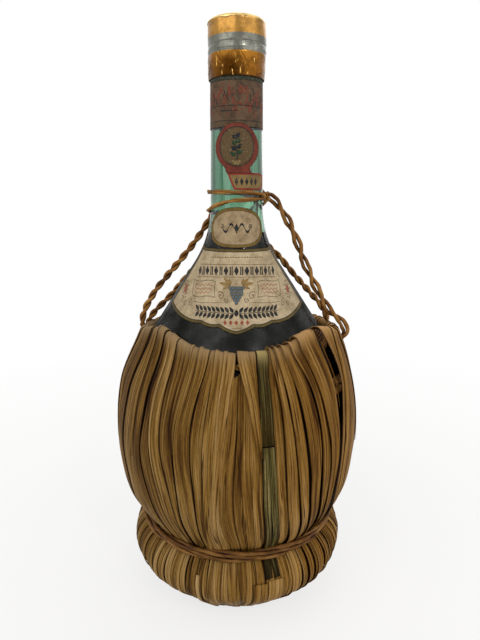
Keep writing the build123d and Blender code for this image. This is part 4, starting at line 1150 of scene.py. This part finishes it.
def neckStrip():
    v = labelValues["strip"]
    rows, sides = 50, 180
    points, insets, places = [], [], []
    for row in range(rows):
        for side in range(sides):
            turn = 2 * math.pi * side / sides
            x, y = math.cos(turn), math.sin(turn)
            torn = 0.5 * noise.noise(Vector((x * 4, y * 4, 2))) + 0.25 * noise.noise(Vector((x * 12, y * 12, 7)))
            low = v["low"] + 0.35 + torn * 0.5
            height = low + (v["high"] - low) * row / (rows - 1)
            crease = 0.07 * abs(noise.noise(Vector((x * 6, y * 6, height / 8))))
            points.append(onFlask(turn, height, papers["gap"] + papers["thickness"] + crease))
            insets.append(min(height - low, (v["high"] - height)))
            places.append((turn * 14, height, 9))
    paper = agedPaperMaterial("stripPaper", "#5c4732", [(0.3, "#20201a"), (2.7, "#55452f"), (0.4, "#201d17")],
                              "#4d3a2a", 0.9, "#6b3a28")
    makePiece("neckStrip", "bottle", paper, points, gridFaces(rows, sides, closed=True), ["neck_strip"],
              {"edgeDistance": insets, "paperPlace": places}, papers["thickness"])
    # a thicket of short curved strokes, as of a printed vine gone faint, between two rules
    waves, rules, border, dice = Print(), Print(), Print(), random.Random(5)
    for number in range(86):
        across = -22 + number * 0.52 + dice.uniform(-0.4, 0.4)
        low, tall = dice.uniform(279, 289), dice.uniform(1.6, 4.6)
        lean, size = dice.uniform(-0.35, 0.35), dice.uniform(0.35, 0.85)
        ink, share = (rules, 0.7) if number % 4 == 1 and 283 < low < 288 else (waves, 1)
        ink.line([(across + lean * t + 0.35 * math.sin(t * 1.9 + number), low + t)
                  for t in np.linspace(0, min(tall, 293 - low), 9)], size * share)
    for drawing, height, left, right, width in ((rules, 282.6, -43.0, 43.0, 0.42), (rules, 280.1, -9.0, 0.6, 0.5),
                                                (border, 296.3, -43.0, 43.0, 2.9)):
        drawing.line([(a, height) for a in np.linspace(left, right, 90)], width)
    border.press("stripBorder", "darkGreen", "strip_paper", rise=0.02)
    waves.press("stripWaves", "darkRed", "strip_paper")
    rules.press("stripRules", "black", "strip_paper", rise=0.01)


mainLabel()
shoulderLabel()
sealLabel()
numberTab()
neckStrip()
print("labels pasted")

# The capsule: tin foil spun over the mouth, lacquered gold but for one bare band, scratched and
# crumpled below where the glass lip no longer backs it.
capsule = {"low": 297.1, "top": 326.0, "radius": 15.2, "round": 2.0, "disc": 13.1, "hole": 9.5,
           "bandLow": 309.0, "bandHigh": 317.0, "groove": 313.2, "ridge": 310.8,
           "foil": 0.22, "discFoil": 0.16}


def foilMaterial():
    material, tree, shader = newMaterial("lacqueredTinFoil", {"Metallic": 1.0})
    place = objectPlace(tree)
    split = addNode(tree, "SeparateXYZ", {0: place}).node.outputs
    low, high, foot, rise = capsule["bandLow"], capsule["bandHigh"], 295, 32
    # painted highlight: from 324.5 mm up, over the curled top edge and the disc, the foil is a bright pale gold; lower
    # down the skirt darkens towards its foot
    zones = ramp(tree, span(tree, split["Z"], foot * mm, (foot + rise) * mm), *[
        ((height - foot) / rise, colour) for height, colour in (
            (297.2, "#6f4517"), (low - 3, "#83561e"), (low - 0.192, "#946424"), (low + 0.064, "#7b7b71"),
            (high - 0.128, "#6f6f66"), (high + 0.128, "#a97c3c"), (324.0, "#ad8042"), (324.5, "#ebc883"))])
    # random darker patches over the whole foil: painted dark reflections; the lacquer is rougher where they are darkest
    darkReflectionPatches = grain(tree, place, 160.0, 6.0, 0.7)
    colour = mix(tree, 1.0, zones, ramp(tree, darkReflectionPatches, (0.38, 0.55), (0.58, 1.0)), "MULTIPLY")
    # painted dark reflection on the skirt's front a little left of the middle, and bright streaks over the skirt,
    # painted glints
    skirt = span(tree, split["Z"], 308.2 * mm, 304.5 * mm)
    fromReflectionMiddle = maths(tree, "ABSOLUTE", maths(tree, "ADD", split["X"], 4.2 * mm))
    patch = span(tree, fromReflectionMiddle, 8.5 * mm, 1 * mm, 0.0, 0.82, "SMOOTHSTEP")
    colour = mix(tree, maths(tree, "MULTIPLY", skirt, patch), colour, "#4c3a1c", "MULTIPLY")
    slant = addNode(tree, "Mapping", {"Rotation": (0, 0.3, 0), "Scale": (1, 1, 0.22), "Vector": place})
    paintedGlints = ramp(tree, grain(tree, slant, 760.0, 2.0), (0.64, 0.0), (0.72, 0.85))
    fill(shader, {"Base Color": mix(tree, maths(tree, "MULTIPLY", paintedGlints, skirt), colour, "#dfad5e"),
                  "Roughness": span(tree, darkReflectionPatches, 0.35, 0.65, 0.36, 0.17)})
    relieve(shader, grain(tree, place, (900.0, 900.0, 315.0), 4.0), 0.4, 0.00012)
    return material


def apart(degrees, middle):
    # degrees from a middle, between -180 and 180
    return (degrees - middle + 180) % 360 - 180


def spinCapsule():
    c = capsule
    foil = foilMaterial()
    dice = random.Random(8)
    creases = []
    for count, *limits in ((22, (-8, 62), (298.6, 307), (-0.9, 0.9), (1.2, 4.2), (0.2, 0.42)),
                           (34, (62, 352), (298.6, 307), (-1, 1), (1.2, 4), (0.08, 0.2))):
        creases += [[dice.uniform(*pair) for pair in limits] for _ in range(count)]
    heights = np.linspace(c["low"], c["top"] - c["round"], 110)
    corner = arcLine((c["radius"] - c["round"], c["top"] - c["round"]), c["round"], 0, 90, 0.35)
    section = [(c["radius"], z) for z in heights] + [tuple(p) for p in corner[1:]] + [(c["hole"], c["top"])]
    sides, points = 240, []
    for r, z in section:
        for side in range(sides):
            turn, degrees = 2 * math.pi * side / sides, side * 360 / sides
            shape = 0.0
            if z < c["top"] - 1.4:
                for deep, middle, wide in ((-0.32, c["groove"], 0.55), (0.16, c["ridge"], 0.6),
                                           (-0.12, c["bandLow"], 0.35)):
                    shape += deep * math.exp(-((z - middle) / wide) ** 2)
                shape -= 0.3 * max(0, (c["low"] + 5 - z) / 5) ** 1.5
                spot = Vector((math.cos(turn) * 2.2, math.sin(turn) * 2.2, z / 7))
                loose = 0.34 if z < c["bandLow"] else 0.1
                shape += loose * (noise.noise(spot) - 0.4 * abs(noise.noise(spot * 2.7)))
            for at, height, slant, length, depth in creases if z < c["bandLow"] else ():
                across = apart(degrees, at) * 0.265
                if abs(across) < 3 and abs(z - height) < length * 1.5:
                    away = (across - slant * (z - height)) / 0.24
                    fade = math.exp(-((z - height) / length) ** 2)
                    shape += depth * fade * (math.exp(-away * away) - 0.8 * math.exp(-(away - 1.9) ** 2))
            if z > c["bandHigh"]:
                shape -= 0.5 * math.exp(-(apart(degrees, -22) / 9) ** 2) * min(1, (z - c["bandHigh"]) / 7)
            bulge = 0.85 * max(0.0, math.sin(turn)) ** 2 * math.exp(-((z - 315) / 10) ** 2)
            points.append(roundAxis(turn, r + min(shape, 0.3) + bulge, z))
    makePiece("capsuleSleeve", "capsule", foil, points, gridFaces(len(section), sides, closed=True), ["capsule_sleeve"],
              None, c["foil"])
    # the disc's crimped edge turns down over the sleeve, with one dent
    disc, rows = np.linspace(0.4, c["disc"], 16), 12
    points = lathePoints([(r, c["top"] + c["foil"]) for r in disc], sides, lambda turn, r, z: 0)
    points = [(x, y, z + 0.06 * noise.noise(Vector((-y / 3, x / 3, 4)))) for x, y, z in points]
    for row in range(1, rows):
        down = row / (rows - 1)
        for side in range(sides):
            turn, degrees = 2 * math.pi * side / sides, side * 360 / sides
            x, y = math.cos(turn), math.sin(turn)
            dent = math.exp(-(apart(degrees, -20) / 8) ** 2)
            edge = 13 + 6 * noise.noise(Vector((x * 3, y * 3, 1))) - 14 * dent
            edge += 4 * noise.noise(Vector((x * 11, y * 11, 1)))
            lean = math.radians(90 - (90 - edge) * row / (rows - 1))
            reach = c["round"] + c["foil"] + 0.12 * down ** 2 * (1 + noise.noise(Vector((turn * 5, 2, 2))))
            points.append(roundAxis(turn, c["radius"] - c["round"] + reach * math.cos(lean) - 0.5 * dent * row / rows,
                                    c["top"] - c["round"] + reach * math.sin(lean)))
    faces = [face[::-1] for face in gridFaces(len(disc) + rows - 1, sides, closed=True)]
    points.append((0, 0, c["top"] + c["foil"]))
    faces += [(len(points) - 1, side, (side + 1) % sides) for side in range(sides)]
    makePiece("capsuleDisc", "capsule", foil, points, faces, ["capsule_disc"], None, c["discFoil"])


spinCapsule()
print("capsule spun")

# The cork: punched from bark, so fine brown pores lie across it in short dark dashes
cork = {"radius": 9.78, "low": 286.0, "top": 324.0, "chamfer": 1.0, "light": "#b58a5a", "dark": "#6d4526",
        "poreLength": 2.4}


def makeCork():
    v = cork
    material, tree, shader = newMaterial("corkBark", {"Roughness": 0.85, "Specular IOR Level": 0.2})
    pores = grain(tree, objectPlace(tree), (1000 / v["poreLength"], 1000 / v["poreLength"], 1400.0), 5.0, 0.65)
    fill(shader, {"Base Color": ramp(tree, pores, (0.3, v["dark"]), (0.47, v["light"]), (0.8, "#c79d6c"))})
    relieve(shader, pores, 0.5, 0.0003)
    ends = [0.3, 0.6, 0.88]
    section = [(v["radius"] * share, v["low"]) for share in ends]
    section += [(v["radius"], z) for z in np.linspace(v["low"] + v["chamfer"], v["top"] - v["chamfer"], 50)]
    section += [(v["radius"] * share, v["top"]) for share in ends[::-1]]
    points, faces = turnSolid(section, v["low"], v["top"], 120, lambda turn, r, z: -0.06 * abs(
        noise.noise(Vector((math.cos(turn) * 7, math.sin(turn) * 7, z)))))
    makePiece("corkStopper", "cork", material, points, faces, ["cork"])


makeCork()

# The ring the round bottom sits in: a hank of marsh grass bent round and bound by its own ends
ring = {"reach": 34.0, "tube": 11.2, "height": 11.0}


def rollRing():
    around, sides, points = 220, 48, []
    values = LeafBundle().values
    for row in range(around):
        azimuth = 2 * math.pi * row / around
        for side in range(sides):
            turn = 2 * math.pi * side / sides
            lay = turn * 11 + azimuth * 5
            strand = abs(math.cos(lay / 2))
            tube = ring["tube"] * (1 - 0.035 * (1 - strand) - 0.02 * abs(noise.noise(Vector((lay, azimuth * 8, 0)))))
            points.append(roundAxis(azimuth, ring["reach"] + tube * math.cos(turn),
                                    max(0.05, ring["height"] + tube * math.sin(turn))))
            # between the strands the edge colour is painted in: painted shade in the grooves of the lay
            for key, value in (("leafPlace", (turn * 11, azimuth * 34, 0)), ("leafTone", -0.08),
                               ("leafEdge", min(1, 1.1 - strand)), ("leafBleach", 0)):
                values[key].append(value)
    faces = gridFaces(around, sides, closed=True)
    last = (around - 1) * sides
    faces += [(last + side, last + (side + 1) % sides, (side + 1) % sides, side) for side in range(sides)]
    makePiece("strawRing", "bottle", strawMaterial, points, faces, ["base_ring"], values)


rollRing()
print("cork and ring made")

# Stage and light
floorMesh = bpy.data.meshes.new("floor")
floorMesh.from_pydata([(-3, -3, 0), (3, -3, 0), (3, 3, 0), (-3, 3, 0)], [], [(0, 1, 2, 3)])
floor = bpy.data.objects.new("floor", floorMesh)
bpy.context.scene.collection.objects.link(floor)


def seenShare(tree):
    # one for a ray that comes from the camera, straight, off a shiny surface or through glass
    path = addNode(tree, "LightPath", {}).node.outputs
    seen = maths(tree, "MAXIMUM", path["Is Camera Ray"], path["Is Transmission Ray"])
    return maths(tree, "MAXIMUM", seen, path["Is Glossy Ray"])


def floorMaterial():
    # matt white studio paper; the camera sees it near white, with the object's shadow kept
    material, tree, shader = newMaterial("studioPaper", {"Base Color": "#e9e8e4", "Roughness": 0.9})
    away = addNode(tree, "VectorMath", {"operation": "LENGTH", 0: objectPlace(tree)}, "Value")
    share = maths(tree, "MULTIPLY", seenShare(tree), span(tree, away, 0.12, 0.55, 0.74, 1.0))
    glow = addNode(tree, "Emission", {"Strength": 1.0})
    lit = addNode(tree, "MixShader", {0: share, 1: shader.outputs[0], 2: glow})
    fill(tree.nodes["Material Output"], {"Surface": lit})
    return material


floorMesh.materials.append(floorMaterial())

lampValues = [
    ("keyLamp", (-0.85, -0.95, 0.95), 1.7, 10.0),
    ("fillLamp", (1.05, -0.75, 0.6), 1.7, 6.2),
    ("backLamp", (0.3, 1.0, 1.0), 1.7, 5.0),
    ("glintLamp", (0.55, -1.0, 1.1), 0.12, 1.6),
]
for name, place, size, watts in lampValues:
    lampData = bpy.data.lights.new(name, "AREA")
    lampData.shape, lampData.size, lampData.energy = "DISK", size, watts
    lamp = bpy.data.objects.new(name, lampData)
    lamp.location = place
    lamp.rotation_euler = (Vector((0, 0, 0.14)) - lamp.location).to_track_quat("-Z", "Y").to_euler()
    bpy.context.scene.collection.objects.link(lamp)

world = bpy.data.worlds.new("studio")
bpy.context.scene.world = world
world.use_nodes = True
studio = world.node_tree
studio.nodes.clear()
level = span(studio, seenShare(studio), 0.0, 1.0, 0.55, 1.0)
sky = addNode(studio, "Background", {"Color": "#ffffff", "Strength": level})
fill(studio.nodes.new("ShaderNodeOutputWorld"), {"Surface": sky})
bpy.context.scene.view_settings.view_transform = "Standard"

print("stage set")
